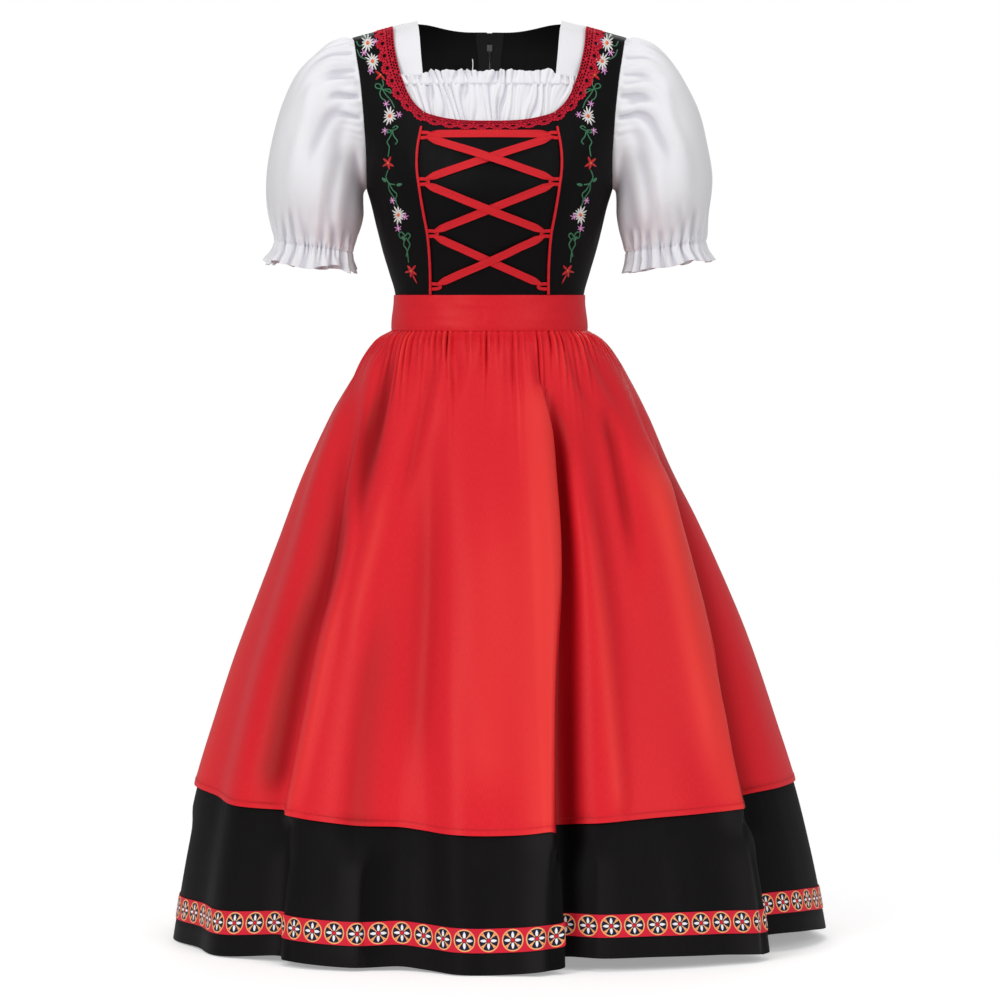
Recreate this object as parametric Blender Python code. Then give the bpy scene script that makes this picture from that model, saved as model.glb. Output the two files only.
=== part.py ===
"""A dirndl as it is worn: a laced bodice over a white blouse front, puffed sleeves,
a gathered skirt with a woven ribbon round its hem, and an apron tied at the back.

The origin lies between the shoulders, where a wearer carries the dress. +Z is up,
the front faces -Y, and the wearer's left is +X. Sizes are in millimetres, and MM
turns them into Blender's metres. Every piece of cloth is a thin closed wall.
"""

import math

import bmesh
import bpy
import numpy as np

MM = 0.001

# What neighbouring pieces leave between them at a seam.
SEAM_GAP = 0.3
# What a layer keeps from the facets of the layer that it lies on.
LAYER_GAP = 0.5


def table(names, *rows):
    """A table with named columns: each name gives its column as an array."""
    return dict(zip(names.split(), np.array(rows, float).T))


def smooth(x, knots, values):
    """A smooth curve through (knots, values), read at x, with one cubic a stretch."""
    x = np.clip(x, knots[0], knots[-1])
    slopes = np.gradient(values, knots)
    i = np.clip(np.searchsorted(knots, x, side="right") - 1, 0, len(knots) - 2)
    width = knots[i + 1] - knots[i]
    t = (x - knots[i]) / width
    start = (1 + 2 * t) * (1 - t) ** 2 * values[i] + t * (1 - t) ** 2 * width * slopes[i]
    end = t * t * (3 - 2 * t) * values[i + 1] - t * t * (1 - t) * width * slopes[i + 1]
    return start + end


def ease(x, low, high):
    """0 below low, 1 above high, and a soft step between them."""
    t = np.clip((x - low) / (high - low), 0, 1)
    return t * t * (3 - 2 * t)


def mix(a, b, share):
    return a + (b - a) * share


def stacked(x, y, z):
    """Points from their coordinates, with one row for each point."""
    return np.stack(np.broadcast_arrays(x, y, z), axis=-1).astype(float)


# The cloth walls

CLOTH = 1.0
STEP = 1e-3


def facing(surface, u, v):
    """The unit normal of surface(u, v), from two short steps along it."""
    along_u = surface(u + STEP, v) - surface(u - STEP, v)
    along_v = surface(u, v + STEP) - surface(u, v - STEP)
    normal = np.cross(along_u, along_v)
    return normal / np.linalg.norm(normal, axis=-1, keepdims=True)


def moved_out(surface, distance):
    """The surface that lies the given distance outside another one."""

    def moved(u, v):
        return surface(u, v) + facing(surface, u, v) * np.asarray(distance)[..., None]

    return moved


def strip(upper, lower, closed):
    """Faces between two rows of points, one of which may have twice the columns."""
    if len(lower) > len(upper):
        return [face[::-1] for face in strip(lower, upper, closed)]
    if closed:
        upper, lower = upper + upper[:1], lower + lower[:1]
    columns = len(lower) - 1
    if len(upper) == len(lower):
        return [
            (upper[j], lower[j], lower[j + 1], upper[j + 1]) for j in range(columns)
        ]
    faces = []
    for j in range(columns):
        first, middle, last = upper[2 * j : 2 * j + 3]
        faces += [
            (first, lower[j], middle),
            (middle, lower[j], lower[j + 1]),
            (middle, lower[j + 1], last),
        ]
    return faces


def set_in(surface, u, v, gap):
    """The columns of a row, with the first and last moved in by a gap."""
    u = np.array(u, float)
    for end, sign in ((0, 1), (-1, -1)):
        step = surface(u[end] + STEP, v) - surface(u[end] - STEP, v)
        u[end] += sign * gap * 2 * STEP / np.linalg.norm(step)
    return u


def wall(name, surface, finish, rows, columns, raised=0, thick=CLOTH, gap=0, closed=False):
    """A closed wall on surface(u, v), whose normal points out. rows gives each row's v
    and which share of the columns it uses: all, every second or every fourth. raised
    is how far the inner face lies outside the surface, and gap what its ends leave."""
    points, outer, inner = [], [], []
    for v, step in rows:
        u = columns[::step]
        if gap:
            u = set_in(surface, u, v, gap)
        base, normal = surface(u, v), facing(surface, u, v)
        for side, distance in ((outer, raised + thick), (inner, raised)):
            first = sum(len(p) for p in points)
            side.append(list(range(first, first + len(u))))
            points.append(base + normal * distance)
    faces = []
    for k in range(len(rows) - 1):
        faces += strip(outer[k], outer[k + 1], closed)
        faces += strip(inner[k + 1], inner[k], closed)
    faces += strip(inner[0], outer[0], closed)
    faces += strip(outer[-1], inner[-1], closed)
    if not closed:
        for end in (0, -1):
            outer_end = [row[end] for row in outer]
            inner_end = [row[end] for row in inner]
            faces += strip(outer_end, inner_end, False)
    return solid(name, np.concatenate(points), faces, finish)


def solid(name, points, faces, finish):
    """One named object from points in millimetres, with its faces turned outwards."""
    mesh = bpy.data.meshes.new(name)
    mesh.from_pydata((points * MM).tolist(), [], faces)
    shape = bmesh.new()
    shape.from_mesh(mesh)
    bmesh.ops.triangulate(shape, faces=shape.faces, quad_method="BEAUTY")
    bmesh.ops.recalc_face_normals(shape, faces=shape.faces)
    if shape.calc_volume(signed=True) < 0:
        bmesh.ops.reverse_faces(shape, faces=shape.faces)
    shape.to_mesh(mesh)
    shape.free()
    mesh.shade_smooth()
    mesh.set_sharp_from_angle(angle=math.radians(50))
    mesh.materials.append(finish)
    made = bpy.data.objects.new(name, mesh)
    bpy.context.scene.collection.objects.link(made)
    return made


def finish(name, colour, roughness, metallic=0.0):
    """A plain material in one colour."""
    made = bpy.data.materials.new(name)
    made.use_nodes = True
    shader = made.node_tree.nodes["Principled BSDF"]
    shader.inputs["Base Color"].default_value = (*colour, 1.0)
    shader.inputs["Roughness"].default_value = roughness
    shader.inputs["Metallic"].default_value = metallic
    return made


# The figure under the dress, from the waist seam up to the shoulder seam.
# Each level has its height, half its width, and its depth to the front and back.

TORSO = table(
    "height half_width front back",
    (-333, 112, 94, 86),
    (-311, 112, 94, 86),
    (-285, 119, 103, 89),
    (-258, 127, 113, 93),
    (-230, 134, 123, 98),
    (-205, 140, 131, 101),
    (-185, 146, 134, 103),
    (-150, 157, 129, 104),
    (-105, 175, 112, 102),
    (-66, 186, 94, 95),
    (-32, 190, 68, 76),
    (-8, 192, 37, 42),
    (0, 193, 0, 0),
)
# Levels run from 0 at the waist seam to 1 at the shoulder seam, along the front.
LEVELS = np.concatenate(
    [[0], np.cumsum(np.hypot(np.diff(TORSO["height"]), np.diff(TORSO["front"])))]
)
LEVELS /= LEVELS[-1]

# The shoulder seam falls from the neck to the sleeve.
SHOULDER_SLOPE = 0.283
SHOULDER_MIDDLE_X = 146.0
# The slope is rounded off across the nape with this radius.
NAPE_RADIUS = 45.0
# The heights between which the rings tilt to meet the sloping shoulder.
TILT_FROM, TILT_TO = -130.0, -5.0


def shoulder_rise(x):
    """How far the shoulder seam at x lies above its middle."""
    nape = np.hypot(x, NAPE_RADIUS)
    return SHOULDER_SLOPE * (math.hypot(SHOULDER_MIDDLE_X, NAPE_RADIUS) - nape)


def half_width(level):
    return smooth(level, LEVELS, TORSO["half_width"])


def height(x, level):
    """The height of the figure's surface at x on a level."""
    plain = smooth(level, LEVELS, TORSO["height"])
    return plain + ease(plain, TILT_FROM, TILT_TO) * shoulder_rise(x)


def torso(angle, level):
    """The figure's surface. The angle is 0 at the centre front and grows to the left."""
    front = smooth(level, LEVELS, TORSO["front"])
    back = smooth(level, LEVELS, TORSO["back"])
    x = half_width(level) * np.sin(angle)
    depth = np.where(np.cos(angle) > 0, front, back)
    return stacked(x, -depth * np.cos(angle), height(x, level))


def level_at(x, z):
    """The level on which the surface at x has the height z."""
    levels = np.linspace(0, 1, 400)
    x, z = np.broadcast_arrays(np.atleast_1d(x), np.atleast_1d(z))
    return np.array([np.interp(b, height(a, levels), levels) for a, b in zip(x, z)])


def front_angle(x, level):
    return np.arcsin(np.clip(x / half_width(level), -1, 1))


def front_surface(x, z):
    """The figure's front surface as a function of x and height."""
    x, z = np.broadcast_arrays(np.asarray(x, float), np.asarray(z, float))
    level = level_at(x.ravel(), z.ravel()).reshape(x.shape)
    return torso(front_angle(x, level), level)


# The bodice: its seams and edges, as distance from the centre and height.

SEAM_TOP = 60.0  # any height above the shoulder seam stands for the seam itself

PIPING_LINE = table(
    "x z",
    (67.5, -333),
    (68, -311),
    (68.6, -272),
    (71.5, -237),
    (75.5, -215),
    (80, -188),
    (83.5, -160),
    (83, -140),
    (78.5, -112),
    (76.5, -96),
)
NECKLINE = table(
    "x z",
    (0, -107.5),
    (22, -107.2),
    (42, -105.6),
    (60, -102),
    (76.5, -96),
    (86.5, -87),
    (95.5, -73),
    (101.5, -58),
    (106, -44),
    (110.5, -25),
    (115.3, SEAM_TOP),
)
ARMHOLE = table(
    "x z",
    (146, -185),
    (145.5, -162),
    (146, -138),
    (148, -104),
    (150.5, -78),
    (153, -55),
    (157, -31),
    (163.8, SEAM_TOP),
)
BODICE_CLOTH = 1.2
BAND_TOP, BAND_BOTTOM = -311.0, -353.0
NECK_CORNER_X = 87.0
NAPE_HEIGHT = 6.0
# The back parts a little at the top of the zip.
ZIP_PARTING = 3.0
ZIP_PARTING_FROM = -26.0

piping_level = level_at(PIPING_LINE["x"], PIPING_LINE["z"])
neckline_level = level_at(NECKLINE["x"], NECKLINE["z"])
armhole_level = level_at(ARMHOLE["x"], ARMHOLE["z"])
CORNER = 4  # the neckline's row where the piping meets it
UNDERARM = armhole_level[0]


def outer_angle(level):
    """The side seam, and above the underarm the edge of the armhole."""
    armhole = np.interp(level, armhole_level, ARMHOLE["x"])
    angle = np.arcsin(np.clip(armhole / half_width(level), -1, 1))
    return np.where(level <= UNDERARM, math.pi / 2, angle)


def inner_x(level):
    """The piping's line, and above it the neckline."""
    piping = np.interp(level, piping_level, PIPING_LINE["x"])
    neck = np.interp(level, neckline_level[CORNER:], NECKLINE["x"][CORNER:])
    return np.where(level <= neckline_level[CORNER], piping, neck)


# The rows of the bodice: from the waist past the band's top edge to the underarm, on up
# to the corner of the neckline, and up the strap to just short of the shoulder seam.
STRAP_ROWS, ARM_ROWS, WAIST_ROWS = 9, 5, 5
TOP_LEVEL = 1 - 0.0005
corner_level = neckline_level[CORNER]
band_level = level_at(0.0, BAND_TOP + 1.0)[0]
bodice_levels = np.concatenate(
    [
        [0],
        np.linspace(band_level, UNDERARM, WAIST_ROWS)[:-1],
        mix(UNDERARM, corner_level, np.linspace(0, 1, ARM_ROWS + 1)[:-1] ** 1.6),
        np.linspace(corner_level, TOP_LEVEL, STRAP_ROWS),
    ]
)


def side_front(side):
    """The panel between the piping and the side seam, with the shoulder strap."""

    def surface(u, level):
        start = front_angle(inner_x(level), level)
        return torso(side * mix(start, outer_angle(level), side * u), level)

    return surface


def centre_front(u, v):
    """The panel between the two lines of piping. u runs from -1 to 1."""
    x_top = np.abs(u) * NECKLINE["x"][CORNER]
    level = v * np.interp(x_top, NECKLINE["x"], neckline_level)
    x = u * np.interp(level, piping_level, PIPING_LINE["x"])
    return torso(front_angle(x, level), level)


NECK_CORNER_SHARE = NECK_CORNER_X / ARMHOLE["x"][-1]
nape_level = float(level_at(0.0, NAPE_HEIGHT)[0])


def nape_rise(share):
    """The back neckline's level, from the zip out to the corner at the strap."""
    t = np.clip(share / NECK_CORNER_SHARE, 0, 1)
    return mix(nape_level, 1.0, t**2.4)


def zip_parting(level):
    """How far each edge of the back stands off the middle of the zip."""
    return ZIP_PARTING * ease(height(0, level), ZIP_PARTING_FROM, NAPE_HEIGHT)


def back(side):
    """The back panel from the zip, where u is 0, to the side seam."""

    def surface(u, v):
        share = -side * u
        level = v * nape_rise(share)
        start = zip_parting(level) / half_width(level)
        return torso(side * (math.pi - mix(start, outer_angle(level), share)), level)

    return surface


def bodice(cloth):
    corner = WAIST_ROWS + ARM_ROWS
    half = SEAM_GAP / 2
    for side, name in ((1, "left"), (-1, "right")):
        rows = [(v, 1 if k < corner else 2) for k, v in enumerate(bodice_levels)]
        columns = np.sort(side * np.linspace(0, 1, 9))
        wall(
            f"bodice_front_{name}", side_front(side), cloth, rows, columns, 0, BODICE_CLOTH, half
        )
        rows = [(v, 1) for v in bodice_levels]
        columns = np.sort(-side * np.linspace(0, 1, 7))
        wall(f"bodice_back_{name}", back(side), cloth, rows, columns, 0, BODICE_CLOTH, half)
    rows = [(v, 1) for v in bodice_levels[: corner + 1] / corner_level]
    columns = np.linspace(-1, 1, 7)
    wall("bodice_front_centre", centre_front, cloth, rows, columns, 0, BODICE_CLOTH, half)


# The piping: a covered cord in the seams beside the centre front.

PIPING_RADIUS = 1.6
PIPING_FOOT, PIPING_HEAD = -309.6, -114.5


def tube(name, path, radius, sides, cloth):
    """A round cord along a path of points, with flat ends."""
    along = np.gradient(path, axis=0)
    along /= np.linalg.norm(along, axis=1, keepdims=True)
    across = np.cross(along, (0, 1, 0))
    across /= np.linalg.norm(across, axis=1, keepdims=True)
    up = np.cross(across, along)
    turn = np.linspace(0, 2 * math.pi, sides, endpoint=False)[None, :, None]
    rings = path[:, None] + radius * (
        np.cos(turn) * across[:, None] + np.sin(turn) * up[:, None]
    )
    index = np.arange(len(path) * sides).reshape(len(path), sides).tolist()
    faces = [index[0], index[-1][::-1]]
    for first, second in zip(index, index[1:]):
        faces += strip(first, second, True)
    return solid(name, rings.reshape(-1, 3), faces, cloth)


def piping(cloth):
    raised = BODICE_CLOTH + LAYER_GAP + PIPING_RADIUS
    z = np.linspace(PIPING_FOOT, PIPING_HEAD, 13)
    x = np.interp(z, PIPING_LINE["z"], PIPING_LINE["x"])
    for side, name in ((1, "left"), (-1, "right")):
        path = moved_out(front_surface, raised)(side * x, z)
        tube(f"piping_{name}", path, PIPING_RADIUS, 6, cloth)


# The blouse front behind the neckline: a gathered panel with a frill above its
# elastic, and a flat strap at each side that runs up to the shoulder.

INSERT_SUNK = 4.6  # how far its inner face lies inside the figure's surface
INSERT_FOLDS, INSERT_FOLD = 18, 0.9
INSERT_TUCK = 9.0  # how far it reaches under the bodice
INSERT_FOOT_X, INSERT_HEAD_X = 92.0, 107.0
ELASTIC_HEIGHT = -62.0
FRILL_HEIGHT, FRILL_WAVE = 18.0, 1.6
STRAP_FOOT_X, STRAP_OVERLAP = 79.0, 5.0


def neckline_x(z):
    """The neckline's distance from the centre at a height above its corner."""
    return np.interp(z, NECKLINE["z"][CORNER:], NECKLINE["x"][CORNER:])


def wave(u, folds):
    """1 and -1 in turn on the columns of a gathered piece, two to a fold."""
    return np.cos(math.pi * folds * (np.asarray(u) + 1))


def insert_panel(u, v):
    """The gathered panel, from its tucked lower edge up to the elastic."""
    low = np.interp(np.abs(u) * INSERT_FOOT_X, NECKLINE["x"], NECKLINE["z"]) - INSERT_TUCK
    x = u * mix(INSERT_FOOT_X, INSERT_HEAD_X, v)
    z = mix(low, ELASTIC_HEIGHT - SEAM_GAP / 2, v)
    fold = INSERT_FOLD * wave(u, INSERT_FOLDS) * mix(0.4, 1, v)
    return moved_out(front_surface, fold - INSERT_SUNK)(x, z)


def insert_frill(u, v):
    """The frill that stands above the elastic, between the straps."""
    x = u * (STRAP_FOOT_X - SEAM_GAP)
    crest = wave(u, INSERT_FOLDS)
    z = ELASTIC_HEIGHT + SEAM_GAP / 2 + v * (FRILL_HEIGHT + crest)
    return moved_out(front_surface, crest * mix(INSERT_FOLD, FRILL_WAVE, v) - INSERT_SUNK)(x, z)


def insert_strap(side):
    """The flat strap, from the elastic up to the shoulder seam."""

    def surface(u, v):
        foot_x = mix(STRAP_FOOT_X, neckline_x(ELASTIC_HEIGHT) + STRAP_OVERLAP, side * u)
        foot = level_at(foot_x, ELASTIC_HEIGHT + SEAM_GAP / 2 + 0 * foot_x)
        level = mix(foot.reshape(np.shape(foot_x)), TOP_LEVEL, v)
        outer = np.interp(level, neckline_level, NECKLINE["x"]) + STRAP_OVERLAP
        x = mix(mix(STRAP_FOOT_X, NECK_CORNER_X, v), outer, side * u)
        return torso(side * front_angle(x, level), level)

    return surface


def blouse_front(cotton):
    columns = np.linspace(-1, 1, 2 * INSERT_FOLDS + 1)
    wall("insert_panel", insert_panel, cotton, [(0, 1), (0.6, 1), (1, 1)], columns)
    wall("insert_frill", insert_frill, cotton, [(0, 1), (1, 1)], columns)
    rows = [(v, 1) for v in np.linspace(0, 0.97, 7)]
    for side, name in ((1, "left"), (-1, "right")):
        columns = np.sort(side * np.linspace(0, 1, 4))
        wall(f"insert_strap_{name}", insert_strap(side), cotton, rows, columns, -2.4)


# The crochet lace round the neckline: scallops with an eyelet in each.

LACE_CLOTH = 0.9
LACE_RAISED = BODICE_CLOTH + LAYER_GAP
LACE_WIDTH = table(
    "from_middle width",
    (0, 11),
    (0.38, 11.5),
    (0.45, 15),
    (0.53, 19),
    (0.65, 21.5),
    (1, 24),
)
LACE_SCALLOPS = 26
EYELET_RADIUS = 2.3
EYELET_PLACE = 0.62  # the eyelet's middle, as a share of the lace's width


def neckline_path(share):
    """The neckline from the right shoulder, 0, round the front to the left, 1."""
    levels = np.concatenate([neckline_level[:0:-1], neckline_level])
    x = np.concatenate([-NECKLINE["x"][:0:-1], NECKLINE["x"]])
    z = height(x, levels)
    depth = torso(front_angle(x, levels), levels)[:, 1]
    run = np.sqrt(np.diff(x) ** 2 + np.diff(z) ** 2 + np.diff(depth) ** 2)
    way = np.concatenate([[0], np.cumsum(run)])
    way /= way[-1]
    return smooth(share, way, x), smooth(share, way, levels)


def lace(share, width):
    """A point on the bodice at a distance outside the neckline."""
    share, width = np.broadcast_arrays(np.asarray(share, float), width)
    x, level = neckline_path(share)
    steps = 6
    for _ in range(steps):
        ahead_x, ahead_level = neckline_path(np.clip(share + STEP, 0, 1))
        behind_x, behind_level = neckline_path(np.clip(share - STEP, 0, 1))
        run_x, run_level = ahead_x - behind_x, ahead_level - behind_level
        point = torso(front_angle(x, level), level)
        by_x = torso(front_angle(x + STEP, level), level) - point
        by_level = torso(front_angle(x, level - STEP), level - STEP) - point
        by_x, by_level = by_x / STEP, -by_level / STEP
        along = by_x * run_x[..., None] + by_level * run_level[..., None]
        aside = np.cross(along, np.cross(by_x, by_level))
        aside /= np.linalg.norm(aside, axis=-1, keepdims=True)
        xx, xl = (by_x**2).sum(-1), (by_x * by_level).sum(-1)
        ll = (by_level**2).sum(-1)
        ax, al = (aside * by_x).sum(-1), (aside * by_level).sum(-1)
        det = xx * ll - xl * xl
        x = x + width / steps * (ax * ll - al * xl) / det
        level = np.minimum(level + width / steps * (al * xx - ax * xl) / det, 1.0)
    return torso(front_angle(x, level), level), x, level


def lace_edging(thread):
    """Each repeat has an eyelet, and a rim of points on its scalloped outline."""
    outline = table(
        "along across", (0, 0.0), (0.5, 0.0), (1, 0.0), (1, 0.8), (0.5, 1.0), (0, 0.8)
    )
    margin = 0.004
    repeat = (1 - 2 * margin) / LACE_SCALLOPS
    points, faces, found = [], [], {}

    def corner(share, across, raised):
        key = (round(share, 6), round(across, 3), raised)
        if key not in found:
            full = np.interp(abs(2 * share - 1), LACE_WIDTH["from_middle"], LACE_WIDTH["width"])
            point, x, level = lace(share, across * full)
            step = 1e-4
            by_x = torso(front_angle(x + step, level), level) - point
            by_level = point - torso(front_angle(x, level - step), level - step)
            normal = np.cross(by_x, by_level)
            normal /= np.linalg.norm(normal)
            found[key] = len(points)
            points.append(point + normal * raised)
        return found[key]

    angles = np.radians([225, 270, 315, 45, 90, 135])
    for k in range(LACE_SCALLOPS):
        start = margin + k * repeat
        middle = start + repeat / 2
        rims, holes = [], []
        for raised in (LACE_RAISED + LACE_CLOTH, LACE_RAISED):
            rims.append(
                [
                    corner(start + a * repeat, c, raised)
                    for a, c in zip(outline["along"], outline["across"])
                ]
            )
            hole = []
            for angle in angles:
                a = middle + math.cos(angle) * repeat * 0.19
                c = EYELET_PLACE + math.sin(angle) * 0.13
                hole.append(corner(a, c, raised))
            holes.append(hole)
        for j in range(6):
            n = (j + 1) % 6
            faces.append((rims[0][j], rims[0][n], holes[0][n], holes[0][j]))
            faces.append((rims[1][n], rims[1][j], holes[1][j], holes[1][n]))
            faces.append((holes[0][j], holes[0][n], holes[1][n], holes[1][j]))
            last = k == LACE_SCALLOPS - 1
            shared = (j == 2 and not last) or (j == 5 and k > 0)
            if not shared:
                faces.append((rims[1][j], rims[1][n], rims[0][n], rims[0][j]))
    solid("neck_lace", np.array(points), faces, thread)


# The lacing: ribbon loops in the piping seams, and a ribbon crossed between them.

RIBBON = 0.9
LOOP_HEIGHTS = (-124.0, -178.0, -238.0, -300.0)
LOOP_LENGTH = 11.0
LOOP_HEIGHT = 8.0
LOOP_EYE = (5.0, 3.6)
LOOP_RAISED = BODICE_CLOTH + LAYER_GAP
LACING_RAISED = LOOP_RAISED + RIBBON + LAYER_GAP
LACING_WIDTH = 8.6
LACING_END_WIDTH = 6.0
LACING_OVER = RIBBON + 0.8
LACING_BAR_RISE = 1.2


def loop_eye_x(z):
    return np.interp(z, PIPING_LINE["z"], PIPING_LINE["x"]) - PIPING_RADIUS - 8.0


def lacing_loop(name, side, z, ribbon):
    """A flat loop of ribbon that comes out of the piping seam, with an open eye."""
    outline = table(
        "x z", (0, -1), (0.75, -1), (1, -0.45), (1, 0.45), (0.75, 1), (0, 1)
    )
    eye = table(
        "x z", (0.25, -1), (0.6, -1), (0.8, -0.45), (0.8, 0.45), (0.6, 1), (0.25, 1)
    )
    points = []
    for raised in (LOOP_RAISED + RIBBON, LOOP_RAISED):
        surface = moved_out(front_surface, raised)
        for ring, rise in ((outline, LOOP_HEIGHT / 2), (eye, LOOP_EYE[1] / 2)):
            ring_z = z + ring["z"] * rise
            root_x = np.interp(ring_z, PIPING_LINE["z"], PIPING_LINE["x"]) - PIPING_RADIUS
            x = side * (root_x - SEAM_GAP - 0.2 - ring["x"] * LOOP_LENGTH)
            points.append(surface(x, ring_z))
    faces = []
    for j in range(6):
        n = (j + 1) % 6
        faces += [
            (j, n, 6 + n, 6 + j),
            (12 + n, 12 + j, 18 + j, 18 + n),
            (6 + j, 6 + n, 18 + n, 18 + j),
            (12 + j, 12 + n, n, j),
        ]
    solid(name, np.concatenate(points), faces, ribbon)


def lacing_strip(start, end, over):
    """A ribbon from one loop's eye to another's. over lifts it where two cross."""
    start, end = np.array(start), np.array(end)
    direction = (end - start) / np.linalg.norm(end - start)
    side = np.array([direction[1], -direction[0]])

    def surface(u, v):
        u, v = np.broadcast_arrays(np.asarray(u, float), v)
        width = mix(LACING_END_WIDTH, LACING_WIDTH, ease(0.5 - np.abs(v - 0.5), 0, 0.18))
        middle = start + (end - start) * v[..., None]
        place = middle + side * (u * width / 2)[..., None]
        lifted = over * LACING_OVER * (1 - ease(np.abs(v - 0.5), 0.14, 0.3))
        normal = facing(front_surface, place[..., 0], place[..., 1])
        return front_surface(place[..., 0], place[..., 1]) + normal * lifted[..., None]

    return surface


def lacing(ribbon):
    for number, z in enumerate(LOOP_HEIGHTS, 1):
        for side, name in ((1, "left"), (-1, "right")):
            lacing_loop(f"lacing_loop_{name}_{number}", side, z, ribbon)
    eyes = [(loop_eye_x(z), z) for z in LOOP_HEIGHTS]
    along = [(v, 1) for v in np.linspace(0, 1, 9)]
    edges = np.array([-1.0, 1.0])
    bar_x, bar_z = eyes[0]
    pieces = [("lacing_top", (-bar_x, bar_z + LACING_BAR_RISE), (bar_x, bar_z + LACING_BAR_RISE), 0, LOOP_RAISED)]
    for number, ((x0, z0), (x1, z1)) in enumerate(zip(eyes, eyes[1:]), 1):
        down, up = z0 - 3.5, z1 + 3.5
        right_over = number != 3
        for name, sign, over in (("right", -1, right_over), ("left", 1, not right_over)):
            ends = (sign * x0, down), (-sign * x1, up)
            pieces.append((f"lacing_{number}_{name}", *ends, over, LACING_RAISED))
    for name, start, end, over, raised in pieces:
        if raised == LOOP_RAISED:
            shorten = LOOP_LENGTH - 8.0 + SEAM_GAP + PIPING_RADIUS
            start, end = (start[0] + shorten, start[1]), (end[0] - shorten, end[1])
        surface = lacing_strip(start, end, over)
        wall(name, surface, ribbon, along, edges, raised, RIBBON)


# The sleeves: puffed from the armhole down to an elastic, with a frill below it.
# Each ring is given by its outer and inner ends and its depth from front to back.

SLEEVE = table(
    "share outer_x outer_z inner_x inner_z depth",
    (0.00, 164, -7, 146, -184, 52),
    (0.14, 197, -15, 151, -188, 62),
    (0.28, 225, -41, 152, -196, 72),
    (0.42, 245, -79, 152, -205, 79),
    (0.56, 259, -122, 152, -215, 82),
    (0.70, 266, -167, 154, -228, 79),
    (0.84, 264, -208, 158, -242, 66),
    (0.93, 259, -235, 163, -254, 52),
    (1.00, 256, -247, 166, -260, 46),
    (1.06, 259, -258, 165, -270, 50),
    (1.12, 267.5, -270.5, 161, -283, 56),
)
ARMHOLE_GAP = 1.1
SLEEVE_COLUMNS = 40
HEAD_GATHER, CUFF_GATHER, FRILL_DEPTH = 1.4, 1.6, 2.4


def armhole_ring(turn):
    """The armhole's edge, from the shoulder over the front to the underarm and back,
    straight between the rows of the bodice as its facets are."""
    rows = bodice_levels[WAIST_ROWS:]
    angle = outer_angle(rows) + ARMHOLE_GAP / half_width(rows)
    angle[0] = math.pi / 2
    front, rear = torso(angle, rows), torso(math.pi - angle, rows)
    round_by = np.abs((turn / math.pi + 1) % 2 - 1) * math.pi
    level = mix(TOP_LEVEL, UNDERARM, np.sin(round_by / 2))
    in_front = np.sin(turn)[..., None] >= 0
    points = [
        np.where(in_front[..., 0], np.interp(level, rows, f), np.interp(level, rows, r))
        for f, r in zip(front.T, rear.T)
    ]
    points[2] = points[2] + 2 * ARMHOLE_GAP * ease(-np.cos(turn), 0.5, 0.9)
    return np.stack(points, axis=-1)


def sleeve(side):
    """A sleeve. u goes once round it and v down it, along the table's share."""

    def ring(turn, share):
        read = {name: smooth(share, SLEEVE["share"], SLEEVE[name]) for name in SLEEVE}
        out = (1 + np.cos(turn)) / 2
        x = mix(read["inner_x"], read["outer_x"], out)
        z = mix(read["inner_z"], read["outer_z"], out)
        return stacked(x, -read["depth"] * np.sin(turn), z)

    def surface(u, v):
        turn = side * np.asarray(u) * 2 * math.pi
        start = armhole_ring(turn) - ring(turn, 0.0)
        points = ring(turn, v) + start * (1 - ease(v, 0, 0.3))
        middle = ring(turn, v) / 2 + ring(turn + math.pi, v) / 2
        away = points - middle
        away /= np.linalg.norm(away, axis=-1, keepdims=True)
        upper_half = ease(np.cos(turn), -0.3, 0.4)
        head = HEAD_GATHER * ease(v, 0, 0.05) * (1 - ease(v, 0.07, 0.25)) * upper_half
        cuff = CUFF_GATHER * ease(v, 0.8, 0.92) + FRILL_DEPTH * ease(v, 1.0, 1.12)
        relief = (head + cuff) * np.cos(SLEEVE_COLUMNS / 2 * turn)
        return (points + away * relief[..., None]) * (side, 1, 1)

    return surface


def sleeves(cotton):
    rows = [(0.0, 1), (0.07, 1), (0.18, 2), (0.33, 2), (0.5, 2), (0.66, 2)]
    rows += [(0.8, 2), (0.91, 1), (1.0, 1), (1.12, 1)]
    columns = np.arange(SLEEVE_COLUMNS) / SLEEVE_COLUMNS
    for side, name in ((1, "left"), (-1, "right")):
        surface = sleeve(side)
        wall(f"sleeve_{name}", surface, cotton, rows, columns, -0.6, closed=True)


# The skirt. The outline's half-width and its depths are read at each height.

SKIRT_TOP, HEM = -333.4, -1079.0
SKIRT = table(
    "height half_width front back",
    (-1079, 390, 334, 336),
    (-1020, 380, 326, 328),
    (-965, 369, 317, 318),
    (-893, 352, 302, 303),
    (-821, 329, 284, 284),
    (-749, 305, 264, 262),
    (-677, 278, 241, 238),
    (-605, 250, 216, 212),
    (-533, 220, 189, 185),
    (-485, 198, 169, 164),
    (-437, 176, 148, 143),
    (-413, 163, 137, 131),
    (-389, 149, 124, 118),
    (-370, 133, 110, 103),
    (-353, 112, 94, 86),
    (-333, 112, 94, 86),
)
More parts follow.
